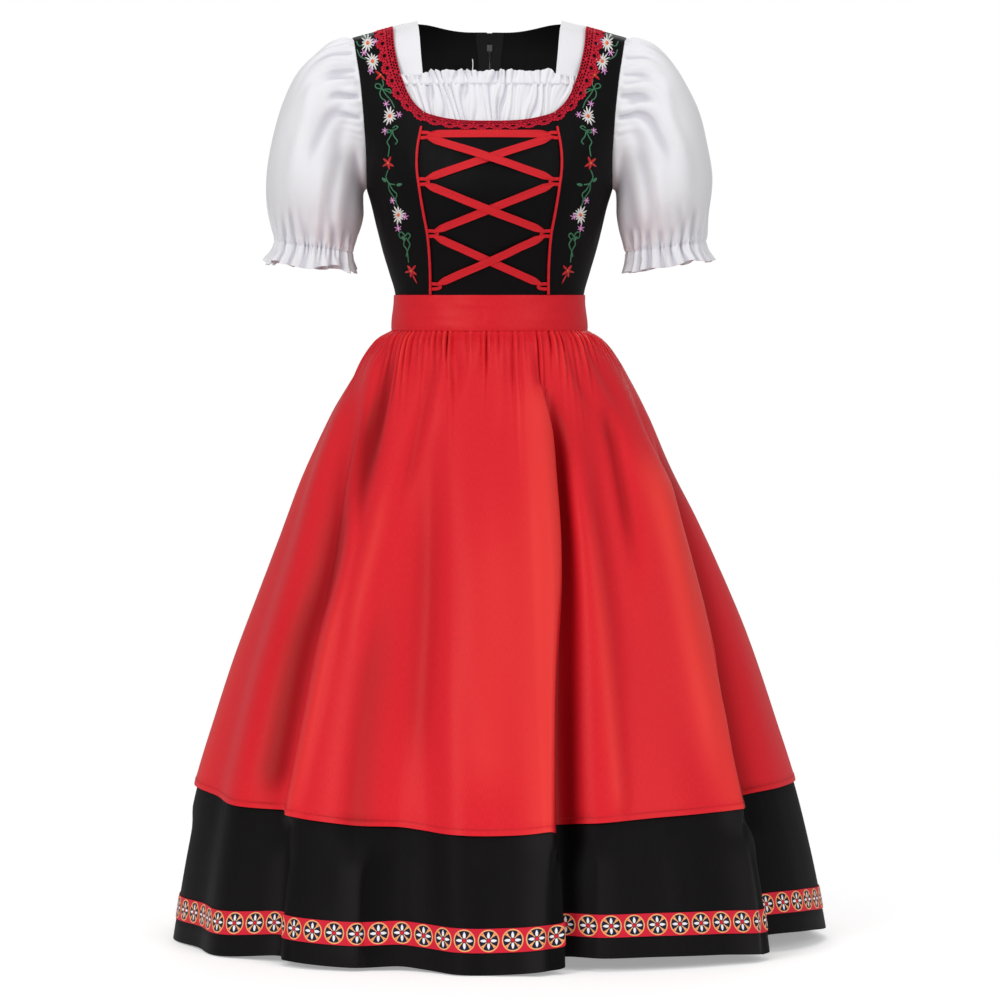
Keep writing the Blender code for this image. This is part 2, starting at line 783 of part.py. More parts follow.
# The folds: how far the cloth stands out, and how far it leans round to the left,
# half-way down and at the hem, and how far the hem is drawn up. The cloth is
# named by its angle at the waist, which is negative on the wearer's right.
FOLDS = table(
    "angle out_mid lean_mid out_hem lean_hem lift",
    (-180, -5, 0, -10, 0, 2),
    (-168, 5, 2, 12, 4, 0),
    (-155, -6, 0, -13, 0, 6),
    (-140, 6, -3, 14, -8, 0),
    (-127, -4, 0, -10, 0, 4),
    (-114, 1, 0, 2, 0, 0),
    (-103, -2, 0, -4, 0, 1),
    (-92, 3, -2, 8, -4, 0),
    (-81, -9, 2, -14, 6, 6),
    (-71, 7, -6, 14, -14, 6),
    (-57, 7, 0, 10, 0, 3),
    (-43, -4, 0, -12, 0, 4),
    (-34, -6, 0, -8, 0, 2),
    (-20, 4, 0, 12, 0, 0),
    (0, 5, 0, 14, 0, 0),
    (18, 7, 3, 16, 8, 4),
    (26, 8, 7, 12, 12, 8),
    (33, -12, -2, -20, -8, 14),
    (45, 4, 0, -2, 0, 14),
    (60, -7, 0, 6, 0, 14),
    (74, 8, 3, 15, 8, 12),
    (86, 5, 8, 15, 22, 8),
    (94, -10, -4, -14, -14, 20),
    (106, -2, 0, -2, 0, 18),
    (116, 1, 0, 4, 0, 12),
    (127, -5, 0, -8, 0, 10),
    (140, 6, 3, 14, 8, 2),
    (155, -6, 0, -13, 0, 6),
    (168, 5, -2, 12, -4, 0),
    (180, -5, 0, -10, 0, 2),
)
MID_DEPTH = 0.36  # half-way down, as a share of the skirt's height
# How much less the cloth in front spreads round the body than cloth at the sides.
FRONT_FALL = math.radians(38)
SKIRT_SWAY = 11.0
SKIRT_HEIGHT = SKIRT_TOP - HEM
SKIRT_RAISED = 0.3

# The columns of skirt and apron are shared, so that their facets lie side by side.
# Two of them make one gather at the waist.
COLUMN = 360 / 184
SIDE_COLUMNS, APRON_COLUMNS = 52, 62
SKIRT_GATHER, APRON_GATHER = 1.7, 1.6
# The gathers are left out beside the zip.
FLAT_AT_ZIP = 7.0


def ring_size(z):
    """The skirt's half-width and its two depths at a height."""
    heights = SKIRT["height"]
    return tuple(smooth(z, heights, SKIRT[name]) for name in ("half_width", "front", "back"))


def cloth_angle(cloth, z):
    """Where cloth named by its angle at the waist hangs at a height. Its distance
    round the skirt changes evenly with the skirt's size."""
    waist = np.radians(cloth)
    hem = waist - FRONT_FALL * np.sin(waist)
    size, top, bottom = ring_size(z)[0], ring_size(BAND_BOTTOM)[0], ring_size(HEM)[0]
    share = (size - top) / (bottom - top)
    return (waist * top * (1 - share) + hem * bottom * share) / size


def round_the_skirt(name, cloth):
    """A column of the table of folds, which runs on past the centre back."""
    knots, values = FOLDS["angle"], FOLDS[name]
    knots = np.concatenate([knots[-3:-1] - 360, knots, knots[1:3] + 360])
    return smooth(cloth, knots, np.concatenate([values[-3:-1], values, values[1:3]]))


def fold(name, cloth, down):
    """A fold's measure at a depth, from none at the waist through the middle one."""
    middle, hem = (round_the_skirt(name + end, cloth) for end in ("_mid", "_hem"))
    upper = middle * ease(down, 0.02, MID_DEPTH)
    return upper + (hem - middle) * ease(down, MID_DEPTH * 0.8, 1.0)


def skirt(cloth, up):
    """The skirt's form without its gathers. cloth is in degrees, and up runs from 0
    at the hem to 1 at the top."""
    cloth, down = np.broadcast_arrays(np.asarray(cloth, float), 1 - np.asarray(up))
    cloth = (cloth + 180) % 360 - 180
    plain = mix(SKIRT_TOP, HEM, down)
    half, front, rear = ring_size(plain)
    angle = cloth_angle(cloth, plain)
    depth = mix(rear, front, ease(np.cos(angle), -0.5, 0.5))
    out, lean = fold("out", cloth, down), fold("lean", cloth, down)
    x = (half + out) * np.sin(angle) + lean * np.cos(angle) + SKIRT_SWAY * down
    y = lean * np.sin(angle) - (depth + out) * np.cos(angle)
    return stacked(x, y, plain + round_the_skirt("lift", cloth) * down**3)


def gathered(surface, depth, flat_from):
    """The surface with gathers, which fade within a hand below the waist."""

    def ruffled(cloth, up):
        down = 1 - np.asarray(up)
        size = depth * (1 - ease(down, 0.04, 0.16)) * mix(0.5, 1, ease(down, 0.026, 0.05))
        size = size * (1 - ease(np.abs(cloth), flat_from - 4, flat_from))
        crest = np.cos(math.pi * np.asarray(cloth) / COLUMN)
        return surface(cloth, up) + facing(surface, cloth, up) * (size * crest)[..., None]

    return ruffled


def columns_between(first, last):
    """The angles of the columns from one number to another, 0 being the front."""
    return np.arange(first, last + 1) * COLUMN


TRIM_WIDTH, TRIM_ABOVE_HEM = 27.0, 25.0
TRIM_ROWS = (TRIM_ABOVE_HEM / SKIRT_HEIGHT, (TRIM_ABOVE_HEM + TRIM_WIDTH) / SKIRT_HEIGHT)
BAND_ROW = 1 - (SKIRT_TOP - BAND_BOTTOM) / SKIRT_HEIGHT
# The rows that skirt and apron share, above the apron's hem.
BODY_ROWS = (0.36, 0.57, 0.77)
HIP_ROWS = (0.86, 0.92)
GATHER_ROW = 0.95


def skirt_panels(cloth):
    half = SEAM_GAP / 2
    hem = [(up, 2) for up in (0, *TRIM_ROWS, 0.21, *BODY_ROWS)]
    rows = hem + [(HIP_ROWS[0], 2)]
    rows += [(up, 4) for up in (HIP_ROWS[1], GATHER_ROW, BAND_ROW, 1)]
    columns = columns_between(-SIDE_COLUMNS, SIDE_COLUMNS)
    wall("skirt_front", skirt, cloth, rows, columns, SKIRT_RAISED, gap=half)
    shape = gathered(skirt, SKIRT_GATHER, 180 - FLAT_AT_ZIP)
    rows = hem + [(up, 2) for up in HIP_ROWS]
    rows += [(up, 1) for up in (GATHER_ROW, BAND_ROW, 1)]
    left = columns_between(SIDE_COLUMNS, 92)
    for name, columns in (("left", left), ("right", -left[::-1])):
        wall(f"skirt_back_{name}", shape, cloth, rows, columns, SKIRT_RAISED, gap=half)


def hem_trim(ribbon):
    """The woven ribbon round the skirt, on the same columns as the cloth below it."""
    columns = columns_between(-92, 91)[::2]
    raised = SKIRT_RAISED + CLOTH + 0.4
    rows = [(up, 1) for up in TRIM_ROWS]
    wall("hem_trim", skirt, ribbon, rows, columns, raised, 0.8, closed=True)


# The apron: gathered satin in front of the skirt, on a waistband that ties behind.

BAND_CLOTH = 1.2
BAND_FLARE = 3.0
APRON_CLEAR = 3.6
APRON_HEM_ROW, APRON_SIDE_RISE = 0.207, 0.0203
# The apron's seam with its band lies this far below the band's edge on the skirt,
# because the apron stands off the skirt where that turns outwards.
APRON_HEAD_DROP = 3.6


def waistband(turn, up):
    """The band's inner face, which widens a little towards the gathers."""
    raised = BODICE_CLOTH + LAYER_GAP + BAND_FLARE * (1 - ease(up, 0, 0.9))
    half, front, rear = 112 + raised, 94 + raised, 86 + raised
    depth = np.where(np.cos(turn) > 0, front, rear)
    z = mix(BAND_BOTTOM, BAND_TOP, up)
    return stacked(half * np.sin(turn), -depth * np.cos(turn), z)


def apron_cloth(cloth, up):
    """The apron, whose lowest row rises to the sides."""
    rise = APRON_SIDE_RISE * (np.asarray(cloth) / 85) ** 2
    clear = moved_out(skirt, APRON_CLEAR)
    return gathered(clear, APRON_GATHER, 360)(
        cloth, up + rise * (1 - ease(up, APRON_HEM_ROW, BODY_ROWS[0]))
    )


def apron(satin):
    turns = np.linspace(-math.pi, math.pi, 40, endpoint=False)
    rows = [(0, 1), (1, 1)]
    wall("apron_band", waistband, satin, rows, turns, 0, BAND_CLOTH, closed=True)
    rows = [(up, 2) for up in (APRON_HEM_ROW, *BODY_ROWS, *HIP_ROWS)]
    rows += [(GATHER_ROW, 1), (BAND_ROW - APRON_HEAD_DROP / SKIRT_HEIGHT, 1)]
    columns = columns_between(-APRON_COLUMNS, APRON_COLUMNS)
    wall("apron", apron_cloth, satin, rows, columns)


# The bow behind: two loops and two tails of the apron's ties, round one knot.

BOW_MIDDLE = (0.0, 101.6, -332.0)
KNOT_DEPTH, KNOT_HEIGHT, KNOT_LENGTH = 7.5, 13.0, 24.0
BOW_LOOP_ROOT, BOW_LOOP = -7.0, 96.0
BOW_LOOP_BELLY, BOW_LOOP_DROOP = 6.0, 14.0
BOW_NARROW, BOW_WIDE = 7.0, 18.0
TAIL_TOP, TAIL_END = -347.8, -598.0
TAIL_WIDTH = (16.0, 34.0)
TAIL_SPREAD = 46.0


def bow_loop(side):
    """One loop: v goes out along its inner layer and back along its outer one."""

    def surface(u, v):
        turn = math.pi * mix(0.03, 0.97, v)
        out = np.sin(turn) ** 0.8
        x = BOW_LOOP_ROOT + BOW_LOOP * out
        y = BOW_MIDDLE[1] - (2.8 + BOW_LOOP_BELLY * out) * np.cos(turn)
        width = mix(BOW_NARROW, BOW_WIDE, out)
        z = BOW_MIDDLE[2] + u * width - BOW_LOOP_DROOP * out**2
        return stacked(side * x, y + 0 * z, z)

    return surface


def knot(turn, v):
    ring = (KNOT_DEPTH * np.cos(turn), KNOT_HEIGHT * np.sin(turn))
    waist = 1 + 0.06 * np.cos(4 * math.pi * (v - 0.5))
    y, z = BOW_MIDDLE[1] + ring[0] * waist, BOW_MIDDLE[2] + ring[1] * waist
    return stacked(KNOT_LENGTH * (v - 0.5), y, z)


def behind(x, z):
    """The skirt's back at a distance from its middle: its cloth's angle and its up."""
    up = (z - HEM) / SKIRT_HEIGHT
    size, top, bottom = ring_size(z)[0], ring_size(BAND_BOTTOM)[0], ring_size(HEM)[0]
    share = (size - top) / (bottom - top)
    spread = top * (1 - share) + (1 + FRONT_FALL) * bottom * share
    angle = np.arcsin((x - SKIRT_SWAY * (1 - up)) / size) * size / spread
    return 180 - np.degrees(angle), up


def tail(side):
    """A tie's end, which hangs from the knot and then lies on the skirt."""

    def surface(u, v):
        u, v = np.broadcast_arrays(np.asarray(u, float), v)
        length = TAIL_END - (6 if side > 0 else 0) - TAIL_TOP
        z = TAIL_TOP + length * v - 7 * u * ease(v, 0.9, 1)
        x = side * (9.5 + TAIL_SPREAD * v) + u * mix(*TAIL_WIDTH, ease(v, 0, 0.3)) / 2
        cloth, up = behind(x, z)
        off = 4.0 + 9.0 * (1 - ease(v, 0.0, 0.12)) + 1.2 * np.sin(9 * v + 2 * u)
        return moved_out(skirt, off)(cloth, up)

    return surface


def bow(satin):
    rows = [(v, 1) for v in np.linspace(0, 1, 10)]
    columns = np.linspace(-1, 1, 3)
    for side, name in ((1, "left"), (-1, "right")):
        wall(f"bow_loop_{name}", bow_loop(side), satin, rows, columns, -0.5)
        wall(f"bow_tail_{name}", tail(side), satin, rows, -columns[::-1])
    rows = [(0, 1), (0.5, 1), (1, 1)]
    turns = np.linspace(0, 2 * math.pi, 12, endpoint=False)
    wall("bow_knot", knot, satin, rows, turns, closed=True)


# The zip at the centre back: a tape under each edge, the coil between them, and a
# slider whose pull swings on a bar through its bridge.

TAPE_START, TAPE_WIDTH, TAPE = 2.0, 12.0, 0.8
COIL_HALF_WIDTH, COIL, COIL_UNDER = 1.5, 1.1, 2.1
TAPE_UNDER = 0.9  # what the tape keeps from the flat facets of the back
ZIP_FOOT = 0.84  # on the skirt
SLIDER_HEIGHT = -10.0
COIL_TOP = float(level_at(0.0, SLIDER_HEIGHT - 1.8)[0]) / nape_level
# Half the width of each section of the slider, where it starts and ends down the
# zip, and how far out from the cloth's inner face it lies.
SLIDER = (
    (3.2, -4.5, 4.5, -3.7),
    (3.2, -4.5, 4.5, -2.6),
    (0.7, -4.2, 0.6, -2.6),
    (0.7, -4.2, 0.6, 1.6),
    (2.8, -4.2, 4.2, 1.6),
    (2.8, -4.2, 4.2, 2.4),
    (0.8, -3.0, 3.2, 2.4),
    (0.8, -2.6, 2.8, 5.6),
)
BRIDGE_EYE = ((-1.6, 1.9), (2.7, 4.6))
# The pull's outline and window, across and down from the bar that it swings on.
PULL_AXIS = (0.9, 3.65)
PULL = 1.0
PULL_OUTLINE = table(
    "x down",
    (-2.7, -0.5),
    (2.7, -0.5),
    (2.9, 6),
    (3.2, 20),
    (2.2, 22.5),
    (-2.2, 22.5),
    (-3.2, 20),
    (-2.9, 6),
)
PULL_WINDOW = table(
    "x down",
    (-1.5, 0.5),
    (1.5, 0.5),
    (1.5, 2),
    (1.5, 4.5),
    (0.9, 5.1),
    (-0.9, 5.1),
    (-1.5, 4.5),
    (-1.5, 2),
)


def centre_back(parted):
    """The back beside the zip. u runs to the wearer's right from the middle, or from
    the parted edges; v runs from -1 to 0 up the skirt and on to 1 at the nape."""

    def surface(u, v):
        u, v = np.broadcast_arrays(np.asarray(u, float), v)
        level = np.clip(v, 0, 1) * nape_level
        aside = u + parted * np.sign(u) * zip_parting(level)
        upper = torso(math.pi + aside / half_width(level), level)
        up = mix(1.0, ZIP_FOOT, np.clip(-v, 0, 1))
        cloth, up = behind(SKIRT_SWAY * (1 - up) - u, mix(HEM, SKIRT_TOP, up))
        return np.where(v[..., None] > 0, upper, skirt(cloth, up))

    return surface


def slider_frame():
    """The slider's place on the centre back, and its directions down and out."""
    level = level_at(0.0, SLIDER_HEIGHT)[0]
    down = torso(math.pi, level - 0.01) - torso(math.pi, level + 0.01)
    down /= np.linalg.norm(down)
    return torso(math.pi, level), down, np.cross((1, 0, 0), down)


def on_slider(x, down, out):
    place, along, normal = slider_frame()
    return place + np.array([x, 0, 0]) + down * along + out * normal


def zip_slider(metal):
    """Stacked four-cornered sections, with a tunnel across the last, the bridge."""
    points, faces = [], [(0, 1, 2, 3)]
    for w, start, end, out in SLIDER:
        corners = ((w, start), (w, end), (-w, end), (-w, start))
        points += [on_slider(x, down, out) for x, down in corners]
    sections = np.arange(4 * len(SLIDER)).reshape(-1, 4).tolist()
    for low, high in zip(sections[:-2], sections[1:-1]):
        faces += strip(low, high, True)
    low, high = sections[-2:]
    faces += [high, (low[1], low[2], high[2], high[1]), (low[3], low[0], high[0], high[3])]
    (start, end), (under, over) = BRIDGE_EYE
    mouths = []
    for x, first, second in ((SLIDER[-1][0], start, end), (-SLIDER[-1][0], end, start)):
        mouths.append(list(range(len(points), len(points) + 4)))
        corners = ((first, under), (second, under), (second, over), (first, over))
        points += [on_slider(x, down, out) for down, out in corners]
    faces += strip([low[0], low[1], high[1], high[0]], mouths[0], True)
    faces += strip([low[2], low[3], high[3], high[2]], mouths[1], True)
    faces += strip(mouths[0], [mouths[1][j] for j in (1, 0, 3, 2)], True)
    return solid("zip_slider", np.array(points), faces, metal)


def zip_pull(metal):
    """A flat tab with a window, whose top bar lies in the bridge's eye."""
    points = []
    for out in (PULL_AXIS[1] + PULL / 2, PULL_AXIS[1] - PULL / 2):
        for ring in (PULL_OUTLINE, PULL_WINDOW):
            for x, down in zip(ring["x"], ring["down"]):
                points.append(on_slider(x, PULL_AXIS[0] + down, out))
    a, b, c, d = np.arange(32).reshape(4, 8).tolist()
    faces = strip(a, b, True) + strip(b, d, True) + strip(d, c, True) + strip(c, a, True)
    return solid("zip_pull", np.array(points), faces, metal)


def zip_fastener(metal, tape_cloth):
    skirt_rows = [(v, 1) for v in (-1, -0.6, -0.165)]
    rows = skirt_rows + [(max(v, 1e-6), 1) for v in bodice_levels[:-1]] + [(0.995, 1)]
    raised = -TAPE_UNDER - TAPE
    columns = np.array([TAPE_START, TAPE_START + TAPE_WIDTH])
    wall("zip_tape_right", centre_back(1), tape_cloth, rows, columns, raised, TAPE)
    columns = -columns[::-1]
    wall("zip_tape_left", centre_back(1), tape_cloth, rows, columns, raised, TAPE)
    rows = [row for row in rows if row[0] < COIL_TOP] + [(COIL_TOP, 1)]
    columns = np.array([-COIL_HALF_WIDTH, COIL_HALF_WIDTH])
    wall("zip_coil", centre_back(0), metal, rows, columns, -COIL_UNDER, COIL)
    zip_slider(metal)
    zip_pull(metal)


def clear_scene():
    for old in list(bpy.data.objects):
        bpy.data.objects.remove(old)


def main():
    clear_scene()
    black = finish("black_cloth", (0.012, 0.011, 0.012), 0.75)
    white = finish("white_cotton", (0.86, 0.85, 0.87), 0.8)
    satin = finish("red_satin", (0.72, 0.03, 0.04), 0.4)
    ribbon = finish("red_ribbon", (0.72, 0.02, 0.03), 0.5)
    thread = finish("red_lace", (0.6, 0.02, 0.045), 0.8)
    woven = finish("woven_ribbon", (0.7, 0.05, 0.07), 0.6)
    bodice(black)
    piping(ribbon)
    blouse_front(white)
    lace_edging(thread)
    lacing(ribbon)
    sleeves(white)
    skirt_panels(black)
    hem_trim(woven)
    apron(satin)
    bow(satin)
    zip_fastener(finish("black_enamel", (0.02, 0.02, 0.022), 0.35), black)


main()
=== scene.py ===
"""The looks of the dirndl: every piece of cloth, ribbon, lace and metal on its frame.

The frame gives the places. Sizes are in millimetres here, and MM turns them into the
frame's metres. +Z is up, the front faces -Y and the wearer's left is +X.
"""

import math

import bpy
import numpy as np
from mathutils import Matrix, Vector, geometry


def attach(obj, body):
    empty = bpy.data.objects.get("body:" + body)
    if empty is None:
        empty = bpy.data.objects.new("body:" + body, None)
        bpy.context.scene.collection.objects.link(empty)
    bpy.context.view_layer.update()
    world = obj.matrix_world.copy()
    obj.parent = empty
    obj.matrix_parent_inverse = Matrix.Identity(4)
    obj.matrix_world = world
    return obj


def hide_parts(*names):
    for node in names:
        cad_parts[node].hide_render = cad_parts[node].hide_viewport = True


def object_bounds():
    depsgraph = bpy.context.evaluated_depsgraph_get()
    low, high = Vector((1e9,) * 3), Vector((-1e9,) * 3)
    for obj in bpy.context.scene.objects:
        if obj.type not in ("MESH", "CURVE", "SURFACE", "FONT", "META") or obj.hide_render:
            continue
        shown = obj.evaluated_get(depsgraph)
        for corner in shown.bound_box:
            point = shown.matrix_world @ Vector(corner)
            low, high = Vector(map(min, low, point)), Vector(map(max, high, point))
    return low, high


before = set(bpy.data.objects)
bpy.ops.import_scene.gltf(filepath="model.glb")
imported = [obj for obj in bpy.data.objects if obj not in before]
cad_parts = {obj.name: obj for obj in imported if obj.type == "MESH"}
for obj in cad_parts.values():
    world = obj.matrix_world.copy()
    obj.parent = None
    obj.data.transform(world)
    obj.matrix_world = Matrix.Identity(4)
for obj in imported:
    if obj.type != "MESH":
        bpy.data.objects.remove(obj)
cad_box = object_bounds()

MM = 0.001
BODY = "dress"


# The view. The dress stands on its hem over a pale floor in a bright studio: a large
# soft light on either side of the camera, one above, one behind, and a small faint one
# within the bodice, which shows the inside of its back.


def aimed(thing, place, target):
    """Put a camera or light in the scene at a place, looking at a target."""
    made = bpy.data.objects.new(thing.name, thing)
    bpy.context.scene.collection.objects.link(made)
    made.location = place
    made.rotation_euler = (Vector(target) - Vector(place)).to_track_quat("-Z", "Y").to_euler()
    return made


CAMERA_X, CAMERA_Z, CAMERA_AWAY, AIM_Z = 12.6, -305.0, 5500.0, -557.0

lens = bpy.data.cameras.new("camera")
lens.lens = 165
camera_place = (CAMERA_X * MM, -CAMERA_AWAY * MM, CAMERA_Z * MM)
bpy.context.scene.camera = aimed(lens, camera_place, (CAMERA_X * MM, 0, AIM_Z * MM))

MIDDLE = (0, 0, -0.5)
for name, place, target, size, power in (
    ("light_left", (-2.3, -3.2, 1.0), MIDDLE, 1.6, 62),
    ("light_right", (2.4, -3.0, 0.8), MIDDLE, 1.9, 36),
    ("light_above", (0, -0.9, 2.9), MIDDLE, 2.2, 26),
    ("light_behind", (0.4, 3.4, 1.4), MIDDLE, 2.4, 44),
    ("light_inside", (0, -0.03, -0.14), (0, 0.085, -0.02), 0.12, 0.1),
):
    light = bpy.data.lights.new(name, "AREA")
    light.size = size
    light.energy = power
    aimed(light, place, target).visible_camera = False

# The world is white to the camera and lights the dress faintly.
WORLD_LIGHT, WORLD_SEEN = 0.36, 1.0
world = bpy.data.worlds.new("studio")
bpy.context.scene.world = world
world.use_nodes = True
nodes, links = world.node_tree.nodes, world.node_tree.links
ground, path = nodes["Background"], nodes.new("ShaderNodeLightPath")
ground.inputs["Color"].default_value = (1, 1, 1, 1)
strength = nodes.new("ShaderNodeMapRange")
strength.inputs["To Min"].default_value = WORLD_LIGHT
strength.inputs["To Max"].default_value = WORLD_SEEN
links.new(path.outputs["Is Camera Ray"], strength.inputs["Value"])
links.new(strength.outputs[0], ground.inputs["Strength"])
bpy.context.scene.view_settings.view_transform = "Standard"
bpy.context.scene.view_settings.look = "None"


def rgb(red, green, blue):
    """A linear colour from the 0 to 255 values that a colour chart gives."""
    share = np.array([red, green, blue]) / 255
    linear = np.where(share > 0.04045, ((share + 0.055) / 1.055) ** 2.4, share / 12.92)
    return (*linear.tolist(), 1.0)


class Wire:
    """An output in a material's node tree. The usual operators add nodes to it."""

    def __init__(self, tree, socket):
        self.tree, self.socket = tree, socket

    def into(self, socket):
        self.tree.links.new(self.socket, socket)

    def maths(self, operation, *values):
        node = self.tree.nodes.new("ShaderNodeMath")
        node.operation = operation
        for socket, value in zip(node.inputs, values):
            if isinstance(value, Wire):
                value.into(socket)
            else:
                socket.default_value = value
        return Wire(self.tree, node.outputs[0])

    def __add__(self, other):
        return self.maths("ADD", self, other)

    def __sub__(self, other):
        return self.maths("SUBTRACT", self, other)

    def __rsub__(self, other):
        return self.maths("SUBTRACT", other, self)

    def __mul__(self, other):
        return self.maths("MULTIPLY", self, other)

    def __truediv__(self, other):
        return self.maths("DIVIDE", self, other)

    def __pow__(self, other):
        return self.maths("POWER", self, other)

    __radd__, __rmul__ = __add__, __mul__

    def wave(self, pitch):
        """0 to 1 and back within each pitch."""
        return self.maths("SINE", self * (2 * math.pi / pitch)) * 0.5 + 0.5

    def cell(self, pitch):
        """How far from the middle of its cell this is, in cells, from -0.5 to 0.5."""
        return self.maths("FRACT", self / pitch) - 0.5

    def size(self):
        return self.maths("ABSOLUTE", self)

    def above(self, low, high):
        """A soft step: 0 below low, 1 above high."""
        node = self.tree.nodes.new("ShaderNodeMapRange")
        node.interpolation_type = "SMOOTHSTEP"
        self.into(node.inputs["Value"])
        node.inputs["From Min"].default_value = low
        node.inputs["From Max"].default_value = high
        return Wire(self.tree, node.outputs[0])


class Finish:
    """A Principled material. along and across run in metres on the cloth itself."""

    def __init__(self, name, colour, roughness, **constants):
        self.material = bpy.data.materials.new(name)
        self.material.use_nodes = True
        self.tree = self.material.node_tree
        self.shader = self.tree.nodes["Principled BSDF"]
        self.shader.inputs["Base Color"].default_value = colour
        self.shader.inputs["Roughness"].default_value = roughness
        for constant, value in constants.items():
            socket = constant.replace("_", " ").title().replace("Ior", "IOR")
            self.shader.inputs[socket].default_value = value
        self.on_cloth = self.read("ShaderNodeUVMap", uv_map="cloth")
        self.along, self.across = self.split(self.on_cloth)[:2]
        place = self.tree.nodes.new("ShaderNodeTexCoord")
        self.place = Wire(self.tree, place.outputs["Object"])
        self.normal = None

    def read(self, kind, **settings):
        node = self.tree.nodes.new(kind)
        for setting, value in settings.items():
            setattr(node, setting, value)
        return Wire(self.tree, node.outputs[0])

    def fold(self):
        """Painted highlight and shade by fold: 1 on the crest of a fold, -1 in its depth, 0 between."""
        node = self.tree.nodes.new("ShaderNodeAttribute")
        node.attribute_name = "fold"
        return Wire(self.tree, node.outputs["Fac"])

    def split(self, vector):
        node = self.tree.nodes.new("ShaderNodeSeparateXYZ")
        vector.into(node.inputs[0])
        return [Wire(self.tree, socket) for socket in node.outputs]

    def noise(self, *scale, at=None, detail=2.0):
        """Soft noise between 0 and 1, scale features to a metre along each axis."""
        stretch = self.tree.nodes.new("ShaderNodeVectorMath")
        stretch.operation = "MULTIPLY"
        (at or self.on_cloth).into(stretch.inputs[0])
        stretch.inputs[1].default_value = (*scale, *[scale[-1]] * (3 - len(scale)))
        node = self.tree.nodes.new("ShaderNodeTexNoise")
        node.inputs["Scale"].default_value = 1.0
        node.inputs["Detail"].default_value = detail
        self.tree.links.new(stretch.outputs[0], node.inputs["Vector"])
        return Wire(self.tree, node.outputs[0])

    def mixed(self, share, first, second):
        """One colour that turns into another as share goes from 0 to 1."""
        node = self.tree.nodes.new("ShaderNodeMix")
        node.data_type = "RGBA"
        share.into(node.inputs[0])
        for socket, value in ((node.inputs[6], first), (node.inputs[7], second)):
            if isinstance(value, Wire):
                value.into(socket)
            else:
                socket.default_value = value
        return Wire(self.tree, node.outputs[2])

    def colour(self, wire):
        wire.into(self.shader.inputs["Base Color"])

    def paint_fold_shade_and_highlight(self, look, depth, crest=None):
        """The look between folds, with painted shade in their depths and painted
        highlight on their crests, each its own colour.
        """
        if crest:
            look = self.mixed(self.fold().above(0.0, 1.0), look, crest)
        self.colour(self.mixed((self.fold() * -1).above(0.0, 1.0), look, depth))

    def rough(self, wire):
        wire.into(self.shader.inputs["Roughness"])

    def relief(self, height, millimetres, strength=1.0):
        """Add a bump of a height from 0 to 1 that stands for this many millimetres."""
        node = self.tree.nodes.new("ShaderNodeBump")
        node.inputs["Strength"].default_value = strength
        node.inputs["Distance"].default_value = millimetres * MM
        height.into(node.inputs["Height"])
        if self.normal:
            self.normal.into(node.inputs["Normal"])
        self.normal = Wire(self.tree, node.outputs[0])
        self.normal.into(self.shader.inputs["Normal"])

    def weave(self, pitch, millimetres, strength=0.5):
        """Plain weave: threads that pass over and under each other."""
        warp, weft = self.along.wave(2 * pitch), self.across.wave(2 * pitch)
        self.relief(warp * weft + (1 - warp) * (1 - weft), millimetres, strength)


# The floor is a disc that fades out towards its rim.
FLOOR_RADIUS, FLOOR_FADE, FLOOR_GLOW, FLOOR_DROP = 1.3, (0.5, 1.25), 0.32, 0.0005
floor_finish = Finish("studio_floor", rgb(252, 252, 252), 0.8)
floor_finish.shader.inputs["Emission Color"].default_value = rgb(255, 255, 255)
floor_finish.shader.inputs["Emission Strength"].default_value = FLOOR_GLOW
x, y = floor_finish.split(floor_finish.place)[:2]
faded = ((x * x + y * y) ** 0.5).above(*FLOOR_FADE)
clear = floor_finish.tree.nodes.new("ShaderNodeBsdfTransparent")
blend = floor_finish.tree.nodes.new("ShaderNodeMixShader")
faded.into(blend.inputs[0])
surface = floor_finish.tree.nodes["Material Output"].inputs["Surface"]
for source, target in (
    (floor_finish.shader.outputs[0], blend.inputs[1]),
    (clear.outputs[0], blend.inputs[2]),
    (blend.outputs[0], surface),
):
    floor_finish.tree.links.new(source, target)
floor_mesh = bpy.data.meshes.new("floor")
turn = np.linspace(0, 2 * math.pi, 48, endpoint=False)
low = cad_box[0][2] - FLOOR_DROP
rim = [(FLOOR_RADIUS * math.cos(a), FLOOR_RADIUS * math.sin(a), low) for a in turn]
floor_mesh.from_pydata(rim, [], [list(range(len(rim)))])
floor_mesh.materials.append(floor_finish.material)
floor = bpy.data.objects.new("floor", floor_mesh)
bpy.context.scene.collection.objects.link(floor)


# The bodice: five panels of black cloth with a close, slightly shiny weave, lined, and
# seamed beside the centre front, at the sides and at the zip. Its outline and its
# levels are those of the frame: the figure is read at each level from the waist, 0,
# to the shoulder seam, 1.


def table(names, *rows):
    """A table with named columns: each name gives its column as an array."""
    return dict(zip(names.split(), np.array(rows, float).T))


def smooth(x, knots, values):
    """A smooth curve through (knots, values), read at x, with one cubic a stretch."""
    x = np.clip(x, knots[0], knots[-1])
    slopes = np.gradient(values, knots)
    i = np.clip(np.searchsorted(knots, x, side="right") - 1, 0, len(knots) - 2)
    width = knots[i + 1] - knots[i]
    t = (x - knots[i]) / width
    start = (1 + 2 * t) * (1 - t) ** 2 * values[i] + t * (1 - t) ** 2 * width * slopes[i]
    end = t * t * (3 - 2 * t) * values[i + 1] - t * t * (1 - t) * width * slopes[i + 1]
    return start + end


def ease(x, low, high):
    """0 below low, 1 above high, and a soft step between them."""
    t = np.clip((x - low) / (high - low), 0, 1)
    return t * t * (3 - 2 * t)


def mix(a, b, share):
    return a + (b - a) * share


def stacked(x, y, z):
    """Points from their coordinates, with one row for each point."""
    return np.stack(np.broadcast_arrays(x, y, z), axis=-1).astype(float)


def unit(vectors):
    """Vectors of length 1 in the same directions."""
    return vectors / np.maximum(np.linalg.norm(vectors, axis=-1, keepdims=True), 1e-9)


